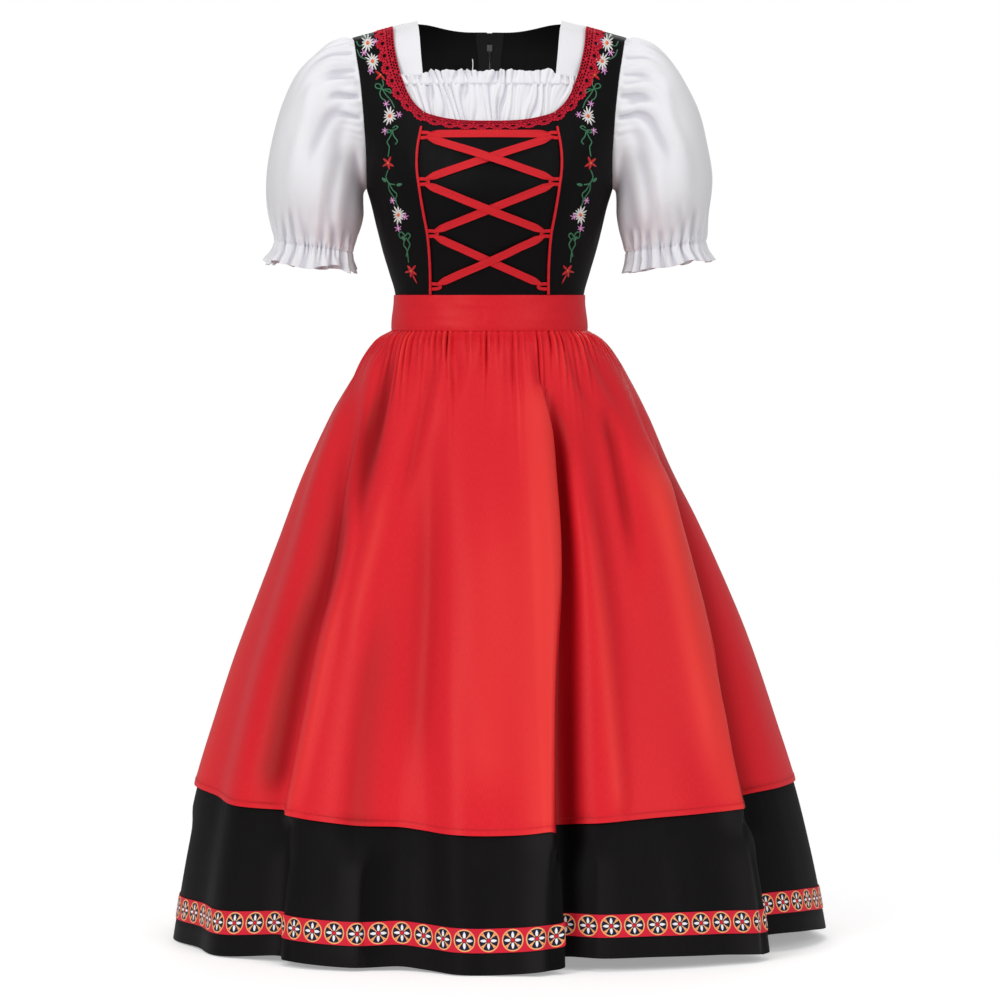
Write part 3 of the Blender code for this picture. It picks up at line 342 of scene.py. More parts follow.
def bell(x, width):
    """1 where x is 0, dying away on both sides over about a width."""
    return np.exp(-((x / width) ** 2))


def distances(path):
    """How far along a path of points each of them lies."""
    return np.concatenate([[0], np.cumsum(np.linalg.norm(np.diff(path, axis=0), axis=1))])


def curved(path, count):
    """Points on a smooth curve through a few given ones."""
    knots = np.arange(len(path), dtype=float)
    fine = np.linspace(0, knots[-1], count)
    return np.stack([smooth(fine, knots, axis) for axis in np.array(path, float).T], -1)


def normals(points, closed=False):
    """The unit normals of a grid of points whose rows run up the cloth."""
    if closed:
        along = np.roll(points, -1, axis=1) - np.roll(points, 1, axis=1)
    else:
        along = np.gradient(points, axis=1)
    return unit(np.cross(along, np.gradient(points, axis=0)))


def raised(points, distance, closed=False):
    """The grid moved along its normals by a distance, which may vary over it."""
    return points + normals(points, closed) * np.asarray(distance)[..., None]


def mesh_object(name, points, faces, finishes, uv=None, kinds=None, body=BODY):
    """One piece from points in millimetres. uv gives each face corner its place."""
    mesh = bpy.data.meshes.new(name)
    faces = np.asarray(faces)
    mesh.vertices.add(len(points))
    mesh.vertices.foreach_set("co", (np.asarray(points) * MM).ravel())
    mesh.loops.add(faces.size)
    mesh.loops.foreach_set("vertex_index", faces.ravel())
    mesh.polygons.add(len(faces))
    mesh.polygons.foreach_set("loop_start", np.arange(0, faces.size, faces.shape[1]))
    mesh.update(calc_edges=True)
    if kinds is not None:
        mesh.polygons.foreach_set("material_index", kinds)
    if uv is not None:
        mesh.uv_layers.new(name="cloth").data.foreach_set("uv", (np.asarray(uv) * MM).ravel())
    mesh.shade_smooth()
    mesh.set_sharp_from_angle(angle=math.radians(60))
    for finish in finishes:
        mesh.materials.append(finish.material)
    made = bpy.data.objects.new(name, mesh)
    bpy.context.scene.collection.objects.link(made)
    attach(made, body)
    return made


def cloth(name, points, finish, thick=1.0, closed=False, fold=None):
    """A closed wall of cloth about a grid of points: rows up it, columns along it.
    closed joins the last column to the first. fold gives each point its painted
    shade or highlight, by where it is in a fold."""
    rows, columns = points.shape[:2]
    normal = normals(points, closed) * thick / 2
    both = np.concatenate([points + normal, points - normal]).reshape(-1, 3)
    last = columns if closed else columns - 1
    i, j = (a.ravel() for a in np.meshgrid(np.arange(rows - 1), np.arange(last), indexing="ij"))
    ends, sides = np.arange(last), np.arange(rows - 1)
    parts = [
        ((i, i, i + 1, i + 1), (j, j + 1, j + 1, j), (0, 0, 0, 0)),
        ((i + 1, i + 1, i, i), (j, j + 1, j + 1, j), (1, 1, 1, 1)),
    ]
    for row, layers in ((0, (1, 1, 0, 0)), (rows - 1, (0, 0, 1, 1))):
        parts.append(([row + 0 * ends] * 4, (ends, ends + 1, ends + 1, ends), layers))
    if not closed:
        for column, layers in ((0, (1, 0, 0, 1)), (columns - 1, (0, 1, 1, 0))):
            parts.append(
                ((sides, sides, sides + 1, sides + 1), [column + 0 * sides] * 4, layers)
            )
    row = np.concatenate([np.stack(part[0], 1) for part in parts])
    column = np.concatenate([np.stack(part[1], 1) for part in parts])
    layer = np.concatenate([np.tile(part[2], (len(part[0][0]), 1)) for part in parts])
    faces = layer * rows * columns + row * columns + column % columns
    looped = np.concatenate([points, points[:, :1]], axis=1) if closed else points
    run = np.linalg.norm(np.diff(looped, axis=1), axis=-1)
    run = run[np.argmax(run.sum(axis=1))]
    rise = np.linalg.norm(np.diff(points, axis=0), axis=-1).mean(axis=1)
    along = np.concatenate([[0], np.cumsum(run)])
    up = np.concatenate([[0], np.cumsum(rise)])
    made = mesh_object(name, both, faces, [finish], np.stack([along[column], up[row]], -1))
    # The fold attribute carries painted shade and painted highlight into the colour.
    if fold is not None:
        kept = made.data.attributes.new("fold", "FLOAT", "POINT")
        kept.data.foreach_set("value", np.tile(np.clip(fold, -1, 1).ravel(), 2))
    return made


def creased(chart, *folds):
    """The relief of creases placed on a chart of the cloth. Each has its
    height, how wide it is on its left and on its right as its path runs down, over
    what shares of the path it fades in and out, and the points of the path."""
    relief = np.zeros(chart.shape[:-1])
    for height, left, right, fade_in, fade_out, *path in folds:
        path = curved(path, 3 * len(path) - 2)
        steps = np.linalg.norm(np.diff(path, axis=0), axis=1)
        before = distances(path)
        best = np.full(relief.shape, np.inf)
        side, place = np.zeros(relief.shape), np.zeros(relief.shape)
        for a, b, step, start in zip(path, path[1:], steps, before):
            way = (b - a) / step
            off = chart - a
            t = np.clip(off @ way, 0, step)
            distance = np.linalg.norm(off - t[..., None] * way, axis=-1)
            nearer = distance < best
            best = np.where(nearer, distance, best)
            side = np.where(nearer, off[..., 1] * way[0] - off[..., 0] * way[1], side)
            place = np.where(nearer, start + t, place)
        share = place / before[-1]
        fade = ease(share, -0.01, fade_in) * (1 - ease(share, 1 - fade_out, 1.01))
        width = np.where(side > 0, right, left)
        relief += height * fade * bell(best, width)
    return relief


def uneven(a, b, seed, count=6):
    """Soft unevenness between about -1 and 1, made of waves in all directions. a and b
    are measured in the size of its features."""
    waves = np.random.default_rng(seed).uniform(-1, 1, (count, 3))
    total = sum(np.sin(3 * (a * p + b * q) + 9 * r) for p, q, r in waves)
    return total / math.sqrt(count)


def seen(points):
    """Where points appear from the front, on the upright plane through the origin."""
    scale = CAMERA_AWAY / (CAMERA_AWAY + points[..., 1])
    return stacked(
        CAMERA_X + (points[..., 0] - CAMERA_X) * scale,
        0,
        CAMERA_Z + (points[..., 2] - CAMERA_Z) * scale,
    )[..., (0, 2)]


TORSO = table(
    "height half_width front back",
    (-333, 112, 94, 86),
    (-311, 112, 94, 86),
    (-285, 119, 103, 89),
    (-258, 127, 113, 93),
    (-230, 134, 123, 98),
    (-205, 140, 131, 101),
    (-185, 146, 134, 103),
    (-150, 157, 129, 104),
    (-105, 175, 112, 102),
    (-66, 186, 94, 95),
    (-32, 190, 68, 76),
    (-8, 192, 37, 42),
    (0, 193, 0, 0),
)
LEVELS = np.concatenate(
    [[0], np.cumsum(np.hypot(np.diff(TORSO["height"]), np.diff(TORSO["front"])))]
)
LEVELS /= LEVELS[-1]
SHOULDER_SLOPE, SHOULDER_MIDDLE_X, NAPE_RADIUS = 0.283, 146.0, 45.0
TILT_FROM, TILT_TO = -130.0, -5.0


def half_width(level):
    return smooth(level, LEVELS, TORSO["half_width"])


def height(x, level):
    """The figure's height at x on a level: the shoulders slope down from the neck."""
    plain = smooth(level, LEVELS, TORSO["height"])
    nape = np.hypot(x, NAPE_RADIUS)
    rise = SHOULDER_SLOPE * (math.hypot(SHOULDER_MIDDLE_X, NAPE_RADIUS) - nape)
    return plain + ease(plain, TILT_FROM, TILT_TO) * rise


def torso(angle, level):
    """The figure's surface, a half ellipse to the front and one to the back at each
    level. The angle is 0 at the centre front and grows to the wearer's left."""
    front = smooth(level, LEVELS, TORSO["front"])
    back = smooth(level, LEVELS, TORSO["back"])
    depth = np.where(np.cos(angle) > 0, front, back)
    x = half_width(level) * np.sin(angle)
    return stacked(x, -depth * np.cos(angle), height(x, level))


def level_at(x, z):
    """The level on which the surface at x has the height z."""
    levels = np.linspace(0, 1, 400)
    x, z = np.broadcast_arrays(np.atleast_1d(x), np.atleast_1d(z))
    found = [np.interp(b, height(a, levels), levels) for a, b in zip(x.ravel(), z.ravel())]
    return np.array(found).reshape(x.shape)


def front_angle(x, level):
    return np.arcsin(np.clip(x / half_width(level), -1, 1))


def front_surface(x, z):
    """The figure's front as a function of x and height."""
    x, z = np.broadcast_arrays(np.asarray(x, float), np.asarray(z, float))
    level = level_at(x, z)
    return torso(front_angle(x, level), level)


def front_raised(x, z, distance):
    """The figure's front at x and height, moved out along its normal."""
    step = 0.5
    across = front_surface(x + step, z) - front_surface(x - step, z)
    up = front_surface(x, z + step) - front_surface(x, z - step)
    return front_surface(x, z) + unit(np.cross(across, up)) * np.asarray(distance)[..., None]


SEAM_TOP = 60.0
PIPING_LINE = table(
    "x z",
    (67.5, -333),
    (68, -311),
    (68.6, -272),
    (71.5, -237),
    (75.5, -215),
    (80, -188),
    (83.5, -160),
    (83, -140),
    (78.5, -112),
    (76.5, -96),
)
NECKLINE = table(
    "x z",
    (0, -107.5),
    (22, -107.2),
    (42, -105.6),
    (60, -102),
    (76.5, -96),
    (86.5, -87),
    (95.5, -73),
    (101.5, -58),
    (106, -44),
    (110.5, -25),
    (115.3, SEAM_TOP),
)
ARMHOLE = table(
    "x z",
    (146, -185),
    (145.5, -162),
    (146, -138),
    (148, -104),
    (150.5, -78),
    (153, -55),
    (157, -31),
    (163.8, SEAM_TOP),
)
CORNER = 4  # the neckline's row where the seam beside the centre front meets it
NECK_CORNER_X, NAPE_HEIGHT = 87.0, 6.0
ZIP_PARTING, ZIP_PARTING_FROM = 3.0, -26.0
TOP_LEVEL = 0.9995
BODICE_CLOTH, SEAM_GAP, LAYER_GAP = 1.2, 0.3, 0.5
CENTRE_WIDTH, SIDE_WIDTH, BACK_WIDTH = 150, 70, 160
SIDES = ((1, "left"), (-1, "right"))

piping_level = level_at(PIPING_LINE["x"], PIPING_LINE["z"])
neckline_level = level_at(NECKLINE["x"], NECKLINE["z"])
armhole_level = level_at(ARMHOLE["x"], ARMHOLE["z"])
UNDERARM = armhole_level[0]
corner_level = neckline_level[CORNER]
nape_level = float(level_at(0.0, NAPE_HEIGHT)[0])


def outer_angle(level):
    """The side seam, and above the underarm the edge of the armhole."""
    armhole = smooth(level, armhole_level, ARMHOLE["x"])
    angle = np.arcsin(np.clip(armhole / half_width(level), -1, 1))
    return np.where(level <= UNDERARM, math.pi / 2, angle)


def inner_x(level):
    """The seam beside the centre front, and above it the neckline."""
    piping = smooth(level, piping_level, PIPING_LINE["x"])
    neck = smooth(level, neckline_level[CORNER:], NECKLINE["x"][CORNER:])
    return np.where(level <= corner_level, piping, neck)


def nape_rise(share):
    """The back neckline's level, from the zip out to the corner at the strap."""
    t = np.clip(share * ARMHOLE["x"][-1] / NECK_CORNER_X, 0, 1)
    return mix(nape_level, 1.0, t**2.4)


def zip_parting(level):
    """How far each edge of the back stands off the middle of the zip."""
    return ZIP_PARTING * ease(height(0, level), ZIP_PARTING_FROM, NAPE_HEIGHT)


def trimmed(count, width):
    """Even steps from 0 to 1 that leave half a seam's gap of a panel's width."""
    return np.linspace(SEAM_GAP / 2 / width, 1 - SEAM_GAP / 2 / width, count)


black = Finish(
    "black_satin_cloth",
    rgb(19, 16, 17),
    0.5,
    specular_ior_level=0.07,
    sheen_weight=0.01,
    sheen_roughness=0.4,
)
black.weave(0.0006, 0.05, 0.4)
black.relief(black.noise(70, 26, detail=3), 0.7, 0.35)
black.colour(black.mixed(black.noise(420, 60), rgb(13, 12, 13), rgb(18, 16, 17)))
black.rough(0.46 + 0.14 * black.noise(160, 30))

# Soft pulls in the cloth: across the bust from the lacing loops, down the waist, and
# short puckers that run out of the armhole seams.
FRONT_PULLS = (
    (1.0, 9, 12, 0.4, 0.5, (-30, -150), (-8, -172), (24, -186)),
    (-0.8, 7, 9, 0.4, 0.5, (-52, -196), (-20, -214), (18, -222)),
    (0.9, 10, 8, 0.4, 0.5, (48, -150), (30, -176), (10, -206)),
    (-0.7, 8, 6, 0.3, 0.5, (44, -236), (26, -262), (8, -284)),
    (0.8, 6, 9, 0.3, 0.5, (-46, -250), (-30, -272), (-12, -296)),
    (-1.0, 6, 8, 0.3, 0.6, (-140, -150), (-128, -176), (-112, -216), (-104, -262)),
    (0.9, 6, 8, 0.3, 0.6, (-134, -200), (-122, -240), (-112, -290)),
    (-1.0, 8, 6, 0.3, 0.6, (141, -146), (129, -172), (114, -212), (106, -258)),
    (0.8, 8, 5, 0.3, 0.6, (132, -210), (121, -246), (110, -294)),
    (-0.9, 5, 4, 0.2, 0.7, (-142, -86), (-128, -92), (-112, -104)),
    (-0.9, 4, 5, 0.2, 0.7, (143, -92), (130, -98), (114, -110)),
    (0.7, 5, 5, 0.3, 0.6, (-92, -120), (-96, -150), (-94, -186)),
    (0.7, 5, 5, 0.3, 0.6, (94, -124), (97, -152), (95, -184)),
)
BACK_PULLS = (
    (-1.2, 9, 7, 0.3, 0.6, (-136, -120), (-110, -150), (-70, -176), (-30, -190)),
    (1.0, 8, 10, 0.3, 0.6, (128, -140), (96, -166), (54, -186), (20, -196)),
    (-0.9, 8, 8, 0.4, 0.5, (-96, -250), (-60, -270), (-20, -280)),
    (0.9, 8, 8, 0.4, 0.5, (92, -262), (58, -276), (18, -290)),
    (-0.8, 6, 6, 0.2, 0.7, (-150, -60), (-128, -66), (-100, -84)),
    (-0.8, 6, 6, 0.2, 0.7, (149, -66), (126, -72), (100, -92)),
    (0.7, 9, 9, 0.4, 0.4, (-46, -20), (-40, -60), (-34, -110)),
    (0.7, 9, 9, 0.4, 0.4, (52, -24), (44, -66), (40, -118)),
)


def panel(name, points, pulls, node):
    """One panel of the bodice, with its pulls and a seam edge that rolls under."""
    rows, columns = points.shape[:2]
    chart = seen(points) if points[rows // 2, columns // 2, 1] < 0 else points[..., (0, 2)]
    share = np.linspace(0, 1, columns)[None]
    edge = 0.35 * np.exp(-(np.minimum(share, 1 - share) * columns / 1.2))
    relief = creased(chart, *pulls) + 0.25 * uneven(chart[..., 0] / 30, chart[..., 1] / 22, 3)
    points = raised(points, BODICE_CLOTH / 2 + 0.7 * relief - edge)
    made = cloth(name, points, black, BODICE_CLOTH)
    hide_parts(node)


level = mix(0, corner_level, np.linspace(0, 1, 76))[:, None]
share = trimmed(60, CENTRE_WIDTH)[None] * 2 - 1
x_top = np.abs(share) * NECKLINE["x"][CORNER]
centre_level = level / corner_level * smooth(x_top, NECKLINE["x"], neckline_level)
points = torso(
    front_angle(share * smooth(centre_level, piping_level, PIPING_LINE["x"]), centre_level),
    centre_level,
)
panel("bodice_centre", points, FRONT_PULLS, "bodice_front_centre")
level = np.linspace(0, TOP_LEVEL, 110)[:, None]
for side, name in SIDES:
    share = np.sort(side * trimmed(40, SIDE_WIDTH))[None]
    angle = mix(front_angle(inner_x(level), level), outer_angle(level), side * share)
    points = torso(side * angle, level)
    panel(f"bodice_side_{name}", points, FRONT_PULLS, f"bodice_front_{name}")
    share = trimmed(56, BACK_WIDTH)[None]
    back_level = level * nape_rise(share)
    start = zip_parting(back_level) / half_width(back_level)
    angle = math.pi - mix(start, outer_angle(back_level), share)
    points = torso(side * angle, back_level)
    points = points[:, ::-1] if side > 0 else points
    panel(f"back_{name}", points, BACK_PULLS, f"bodice_back_{name}")


# The piping: a cord covered with red satin cut on the bias, sewn into the seams beside
# the centre front.

PIPING_RADIUS, PIPING_FOOT, PIPING_HEAD = 1.6, -309.6, -114.5
TIP_REACH, TIP_SIZE = 0.7, 0.3  # of a cord's blunt tip, as shares of its radius


def cords(name, paths, radius, finish, sides=8, closed=False):
    """Round cords along paths of points, as one piece. radius is one number or one for
    each point. The ends are drawn in to a blunt tip, or joined if closed."""
    points, faces, places, first = [], [], [], 0
    for path in paths:
        path = np.asarray(path, float)
        if closed:
            along = np.roll(path, -1, axis=0) - np.roll(path, 1, axis=0)
        else:
            along = np.gradient(path, axis=0)
        along = unit(along)
        across = unit(np.cross(along, (0.0, 1.0, 0.02)))
        up = np.cross(across, along)
        size = np.broadcast_to(np.asarray(radius, float), len(path)).copy()
        if not closed:
            step = TIP_REACH * along[[0, -1]] * size[[0, -1], None] * ((-1,), (1,))
            path = np.concatenate([path[:1] + step[:1], path, path[-1:] + step[1:]])
            size = np.concatenate([size[:1] * TIP_SIZE, size, size[-1:] * TIP_SIZE])
            across, up = (np.concatenate([a[:1], a, a[-1:]]) for a in (across, up))
        turn = np.linspace(0, 2 * math.pi, sides, endpoint=False)[None, :, None]
        ring = size[:, None, None] * (np.cos(turn) * across[:, None] + np.sin(turn) * up[:, None])
        points.append((path[:, None] + ring).reshape(-1, 3))
        rings = len(path)
        last = rings if closed else rings - 1
        k, j = (a.ravel() for a in np.meshgrid(np.arange(last), np.arange(sides), indexing="ij"))
        rows, columns = np.stack([k, k, k + 1, k + 1], 1), np.stack([j, j + 1, j + 1, j], 1)
        faces.append(first + rows % rings * sides + columns % sides)
        run = distances(path)
        run = np.append(run, run[-1] + 1.0)
        places.append(np.stack([run[rows], columns * 2 * math.pi * size.mean() / sides], -1))
        if not closed:
            for row, order in ((0, -1), (rings - 1, 1)):
                for j in range(1, sides - 1, 2):
                    corner = [0, j, j + 1, (j + 2) % sides][::order]
                    faces.append(first + row * sides + np.array([corner]))
                    places.append(np.zeros((1, 4, 2)))
        first += rings * sides
    points, faces, places = (np.concatenate(parts) for parts in (points, faces, places))
    return mesh_object(name, points, faces, [finish], places)


ribbon_red = Finish("red_ribbon", rgb(212, 22, 34), 0.5, specular_ior_level=0.25, sheen_weight=0.05)
ribbon_red.relief((ribbon_red.along + ribbon_red.across * 0.9).wave(0.0011), 0.1, 0.5)
ribbon_red.relief(ribbon_red.noise(220, 220, detail=3), 0.2, 0.3)
ribbon_red.colour(ribbon_red.mixed(ribbon_red.noise(500, 500), rgb(204, 16, 30), rgb(222, 28, 40)))

z = np.linspace(PIPING_FOOT, PIPING_HEAD, 90)
for side, name in SIDES:
    x = side * smooth(z, PIPING_LINE["z"], PIPING_LINE["x"])
    line = front_raised(x, z, BODICE_CLOTH + LAYER_GAP + PIPING_RADIUS)
    radius = PIPING_RADIUS * (1 + 0.04 * np.cos(z / 2.3))
    made = cords(f"piping_cord_{name}", [line], radius, ribbon_red, 12)
    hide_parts(f"piping_{name}")


# The embroidery up each side front: daisies, small lilac flowers, red buds and green
# tendrils in thread. Petals are raised pads of satin stitch, each on its own shape, and
# tendrils are stitched lines. Both sides have the same motifs, mirrored.


def thread(name, first, second):
    """Embroidery thread: fine ridges along the stitches and a silky sheen."""
    made = Finish(name, first, 0.45, sheen_weight=0.12, specular_ior_level=0.35)
    made.relief(made.across.wave(0.00042), 0.12, 0.7)
    made.colour(made.mixed(made.across.wave(0.00084) * made.noise(400, 900), first, second))
    return made


WHITE, ORANGE, LILAC, RED, GREEN = range(5)
threads = [
    thread("white_thread", rgb(244, 242, 240), rgb(196, 190, 186)),
    thread("orange_thread", rgb(232, 98, 34), rgb(240, 140, 70)),
    thread("lilac_thread", rgb(216, 128, 198), rgb(240, 196, 230)),
    thread("red_thread_bright", rgb(206, 20, 30), rgb(168, 10, 20)),
    thread("green_thread", rgb(36, 104, 70), rgb(84, 156, 112)),
]
CLOTH_TOP = BODICE_CLOTH + 0.15
TENDRIL_RADIUS, TENDRIL_LIFT = 0.78, 0.35


def pad(middle, angle, length, width, crown):
    """A stitched pad as a flat patch with a crown: rings of points in its own plane."""
    sides = 12
    turn = np.linspace(0, 2 * math.pi, sides, endpoint=False)
    flat, high = [], []
    for ring, rise in ((1.0, 0.0), (0.85, 0.55), (0.5, 0.93)):
        shape = np.sin(turn) * (1 - 0.22 * np.cos(turn))
        flat.append(np.stack([ring * length / 2 * np.cos(turn), ring * width / 2 * shape], -1))
        high.append(np.full(sides, rise * crown))
    flat.append(np.zeros((1, 2)))
    high.append([crown])
    flat, high = np.concatenate(flat), np.concatenate(high)
    c, s = math.cos(angle), math.sin(angle)
    turned = flat @ np.array([[c, s], [-s, c]])
    faces = []
    for k in range(2):
        for j in range(sides):
            n = (j + 1) % sides
            faces.append((k * sides + j, k * sides + n, (k + 1) * sides + n, (k + 1) * sides + j))
    for j in range(0, sides, 2):
        faces.append((2 * sides + j, 2 * sides + j + 1, 2 * sides + (j + 2) % sides, 3 * sides))
    return turned + middle, high, flat, np.array(faces)


def flower(middle, petals, inner, outer, width, kind, heart=None, turned=0.0, squeeze=1.0):
    """Petals from an inner to an outer radius round a middle, with a heart over them."""
    made = []
    for k in range(petals):
        angle = turned + 2 * math.pi * k / petals
        far = outer * (1 + 0.2 * math.sin(5 * k + 3 * turned)) * (1 + 0.14 * abs(math.sin(angle)))
        reach = (inner + far) / 2
        at = np.array(middle) + reach * np.array([squeeze * math.cos(angle), math.sin(angle)])
        made.append((at, angle, far - inner, width, 0.75 + 0.15 * (k % 2), kind))
    if heart:
        made.append((np.array(middle), 1.3, *heart, 1.35, ORANGE))
    return made


daisy = dict(petals=13, inner=1.9, outer=9.2, width=1.9, kind=WHITE)
star = dict(petals=6, inner=0.3, outer=4.2, width=1.25, kind=LILAC)

# Motifs and tendrils have their places on the upright plane, for the right side.
DAISIES = (
    (-145.0, -10.8, 0.1, 0.9),
    (-139.1, -32.2, 0.3, 0.9),
    (-118.6, -97.2, 0.0, 0.85),
    (-107.8, -214.8, 0.2, 0.75),
)
STARS = (
    (-149.4, -22.2),
    (-141.6, -43.2),
    (-123.0, -82.8),
    (-107.4, -95.8),
    (-124.2, -114.6),
    (-115.1, -197.4),
    (-100.4, -217.2),
    (-108.0, -231.1),
    (-136.0, -9.0),
)
BUDS = (
    (-129.5, -48.6, (2.5, 3.9, 5.4)),
    (-120.1, -153.0, (1.2, 2.4, 3.7, 4.9, 5.7)),
    (-92.6, -281.5, (0.9, 2.2, 3.4, 4.6, 5.6)),
)
BUD_STEM = (-88.6, -291.5)
LEAVES = ((-107.0, -178.9, 0.2), (-101.8, -243.0, 2.2), (-125.0, -173.0, 2.4))
pads = []
for x, z, turned, squeeze in DAISIES:
    pads += flower((x, z), heart=(5.0, 4.0), turned=turned, squeeze=squeeze, **daisy)
for k, place in enumerate(STARS):
    pads += flower(place, turned=0.4 * k, **star)
    pads.append((place, 0.0, 1.5, 1.4, 0.9, WHITE))
for x, z, petals in BUDS:
    for angle in petals:
        at = (x + 4.0 * math.cos(angle), z + 4.0 * math.sin(angle))
        pads.append((at, angle, 8.4, 2.9, 1.0, RED))
    pads.append(((x, z), 0.8, 3.0, 2.6, 1.3, ORANGE))
pads.append((BUD_STEM, -1.1, 13.0, 1.6, 0.7, RED))
for x, z, angle in LEAVES:
    pads.append(((x, z), angle, 7.0, 3.6, 0.7, GREEN))
TENDRILS = (
    ((-128.0, -64.3), (-132.6, -64.8), (-135.8, -62.2), (-134.0, -59.2), (-130.2, -60.0), (-128.0, -64.3)),
    ((-128.0, -64.3), (-126.0, -60.0), (-127.2, -54.6)),
    ((-128.0, -64.3), (-130.2, -69.6), (-128.4, -75.6), (-123.6, -79.2)),
    ((-128.0, -64.3), (-123.0, -72.0), (-117.0, -79.2), (-112.8, -87.6)),
    ((-127.2, -65.4), (-121.8, -67.8), (-117.0, -70.2), (-118.2, -66.0), (-124.2, -65.4)),
    ((-115.0, -114.6), (-119.4, -117.0), (-122.4, -117.0), (-120.0, -114.0), (-115.0, -114.6)),
    ((-115.0, -114.6), (-111.0, -112.8), (-108.6, -110.4), (-111.6, -109.2), (-114.6, -111.6)),
    ((-115.0, -115.2), (-113.4, -121.2), (-109.2, -127.2), (-111.6, -130.8)),
    ((-115.0, -115.2), (-118.2, -122.4), (-121.2, -128.4), (-118.8, -134.4), (-120.0, -145.0)),
    ((-120.0, -161.6), (-122.4, -169.6), (-118.8, -177.0), (-112.2, -178.8)),
    ((-118.8, -177.0), (-114.6, -184.8), (-109.8, -190.0), (-111.2, -197.4), (-108.6, -204.0)),
    ((-119.4, -176.4), (-118.6, -184.8), (-114.0, -192.4), (-110.0, -198.8)),
    ((-99.6, -240.0), (-103.8, -235.2), (-107.0, -237.0), (-105.0, -242.4), (-99.6, -240.0)),
    ((-99.6, -240.0), (-96.6, -236.6), (-93.8, -239.2), (-96.0, -243.6)),
    ((-99.6, -242.4), (-101.4, -250.0), (-97.6, -257.2), (-95.7, -271.0)),
    ((-98.4, -242.4), (-94.2, -249.6), (-96.6, -256.8), (-98.4, -264.0)),
    ((-158.2, -9.6), (-155.6, -14.2), (-150.8, -14.6)),
    ((-157.4, -19.0), (-153.8, -26.6), (-147.4, -30.4)),
    ((-151.0, -2.2), (-149.0, -5.0), (-146.8, -6.0)),
)


def on_bodice(spots, lift):
    """Where spots of the upright plane lie on the bodice, at a height off its cloth. On
    the left those near the shoulder stand a little further in."""
    across, up = np.array(spots, float).T
    across = across - 5.0 * (across > 0) * ease(up, -130, -30)
    x, z = across, up
    for _ in range(3):
        scale = (CAMERA_AWAY + front_surface(x, z)[:, 1]) / CAMERA_AWAY
        x = CAMERA_X + (across - CAMERA_X) * scale
        z = CAMERA_Z + (up - CAMERA_Z) * scale
    under_shoulder_line = np.minimum(z, height(x, 1.0) - 1.0)
    return front_raised(x, under_shoulder_line, CLOTH_TOP + np.asarray(lift, float))


for side, name in SIDES:
    points, faces, places, kinds, first = [], [], [], [], 0
    for middle, angle, length, width, crown, kind in pads:
        spots, high, flat, found = pad(middle, angle, length, width, crown)
        points.append(on_bodice(spots * (-side, 1), high))
        found = found[:, ::-side]
        faces.append(first + found)
        places.append(flat[found])
        kinds += [kind] * len(found)
        first += len(spots)
    points, faces, places = (np.concatenate(parts) for parts in (points, faces, places))
    made = mesh_object(f"embroidery_{name}", points, faces, threads, places, kinds)
    mirrored = (-side, 1)
    lines = [
        on_bodice(curved(line, 7 * len(line)) * mirrored, TENDRIL_LIFT) for line in TENDRILS
    ]
    made = cords(f"tendrils_{name}", lines, TENDRIL_RADIUS, threads[GREEN], 7)


# The blouse front behind the neckline: fine white cotton gathered on an elastic, with a
# frill above it, and a flat strap at each side up to the shoulder.

INSERT_SUNK, INSERT_FOLDS, INSERT_FOLD, INSERT_TUCK = 4.6, 18, 0.9, 9.0
INSERT_FOOT_X, INSERT_HEAD_X = 92.0, 107.0
ELASTIC_HEIGHT, FRILL_HEIGHT, FRILL_WAVE = -62.0, 18.0, 1.6
STRAP_FOOT_X, STRAP_OVERLAP, STRAP_RISE = 79.0, 5.0, 3.2
BLOUSE_CLOTH = 0.7
THREAD_X, THREAD_RADIUS = -20, 0.5

cotton = Finish("white_cotton", rgb(238, 237, 241), 0.78, sheen_weight=0.2, specular_ior_level=0.3)
cotton.weave(0.0004, 0.03, 0.35)
cotton.relief(cotton.noise(90, 60, detail=4), 0.5, 0.3)
look = cotton.mixed(cotton.noise(40, 40), rgb(239, 239, 243), rgb(244, 243, 247))
# Painted shade: the cotton turns greyer in the depths of its folds.
cotton.paint_fold_shade_and_highlight(look, rgb(213, 211, 219))


def gathered_cotton(share, up, folds, seed):
    """Irregular gathers: their number across the piece stays, but they lean, wander and
    vary in depth, and finer ones lie between them."""
    lean = 1.1 * uneven(share * 6, up * 1.7, seed) + 0.4 * up
    strong = 1.1 + 0.7 * uneven(share * 9, up * 0.8, seed + 1)
    crest = np.cos(math.pi * (folds * (share + 1)) + 2.2 * lean)
    sharp = np.sign(crest) * np.abs(crest) ** 0.7
    fine = 0.45 * np.cos(2.6 * math.pi * folds * share + 4 * lean + seed)
    return strong * (sharp + fine)


share = np.linspace(-1, 1, 233)[None]
up = np.linspace(0, 1, 26)[:, None]
low = np.interp(np.abs(share) * INSERT_FOOT_X, NECKLINE["x"], NECKLINE["z"]) - INSERT_TUCK
x = share * mix(INSERT_FOOT_X, INSERT_HEAD_X, up)
z = mix(low, ELASTIC_HEIGHT + 1.5, up)
puff = 1.6 * np.sin(math.pi * up) ** 0.6
strong = mix(0.8, 1.15, up) * (1 - 0.5 * ease(up, 0.93, 1))
relief = INSERT_FOLD * strong * gathered_cotton(share, up, INSERT_FOLDS, 41)
at_strap = 1.2 * ease(np.abs(x), STRAP_FOOT_X - 8, STRAP_FOOT_X) * ease(up, 0.5, 1)
points = front_raised(x, z, puff + relief - INSERT_SUNK + 0.5 + at_strap)
# Painted shade in the gathers' depths, and in a line along the elastic at the top.
painted_fold_shade = relief / 1.5 - 0.7 * bell(1 - up, 0.06)
made = cloth("blouse_front", points, cotton, BLOUSE_CLOTH, fold=painted_fold_shade)
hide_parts("insert_panel")

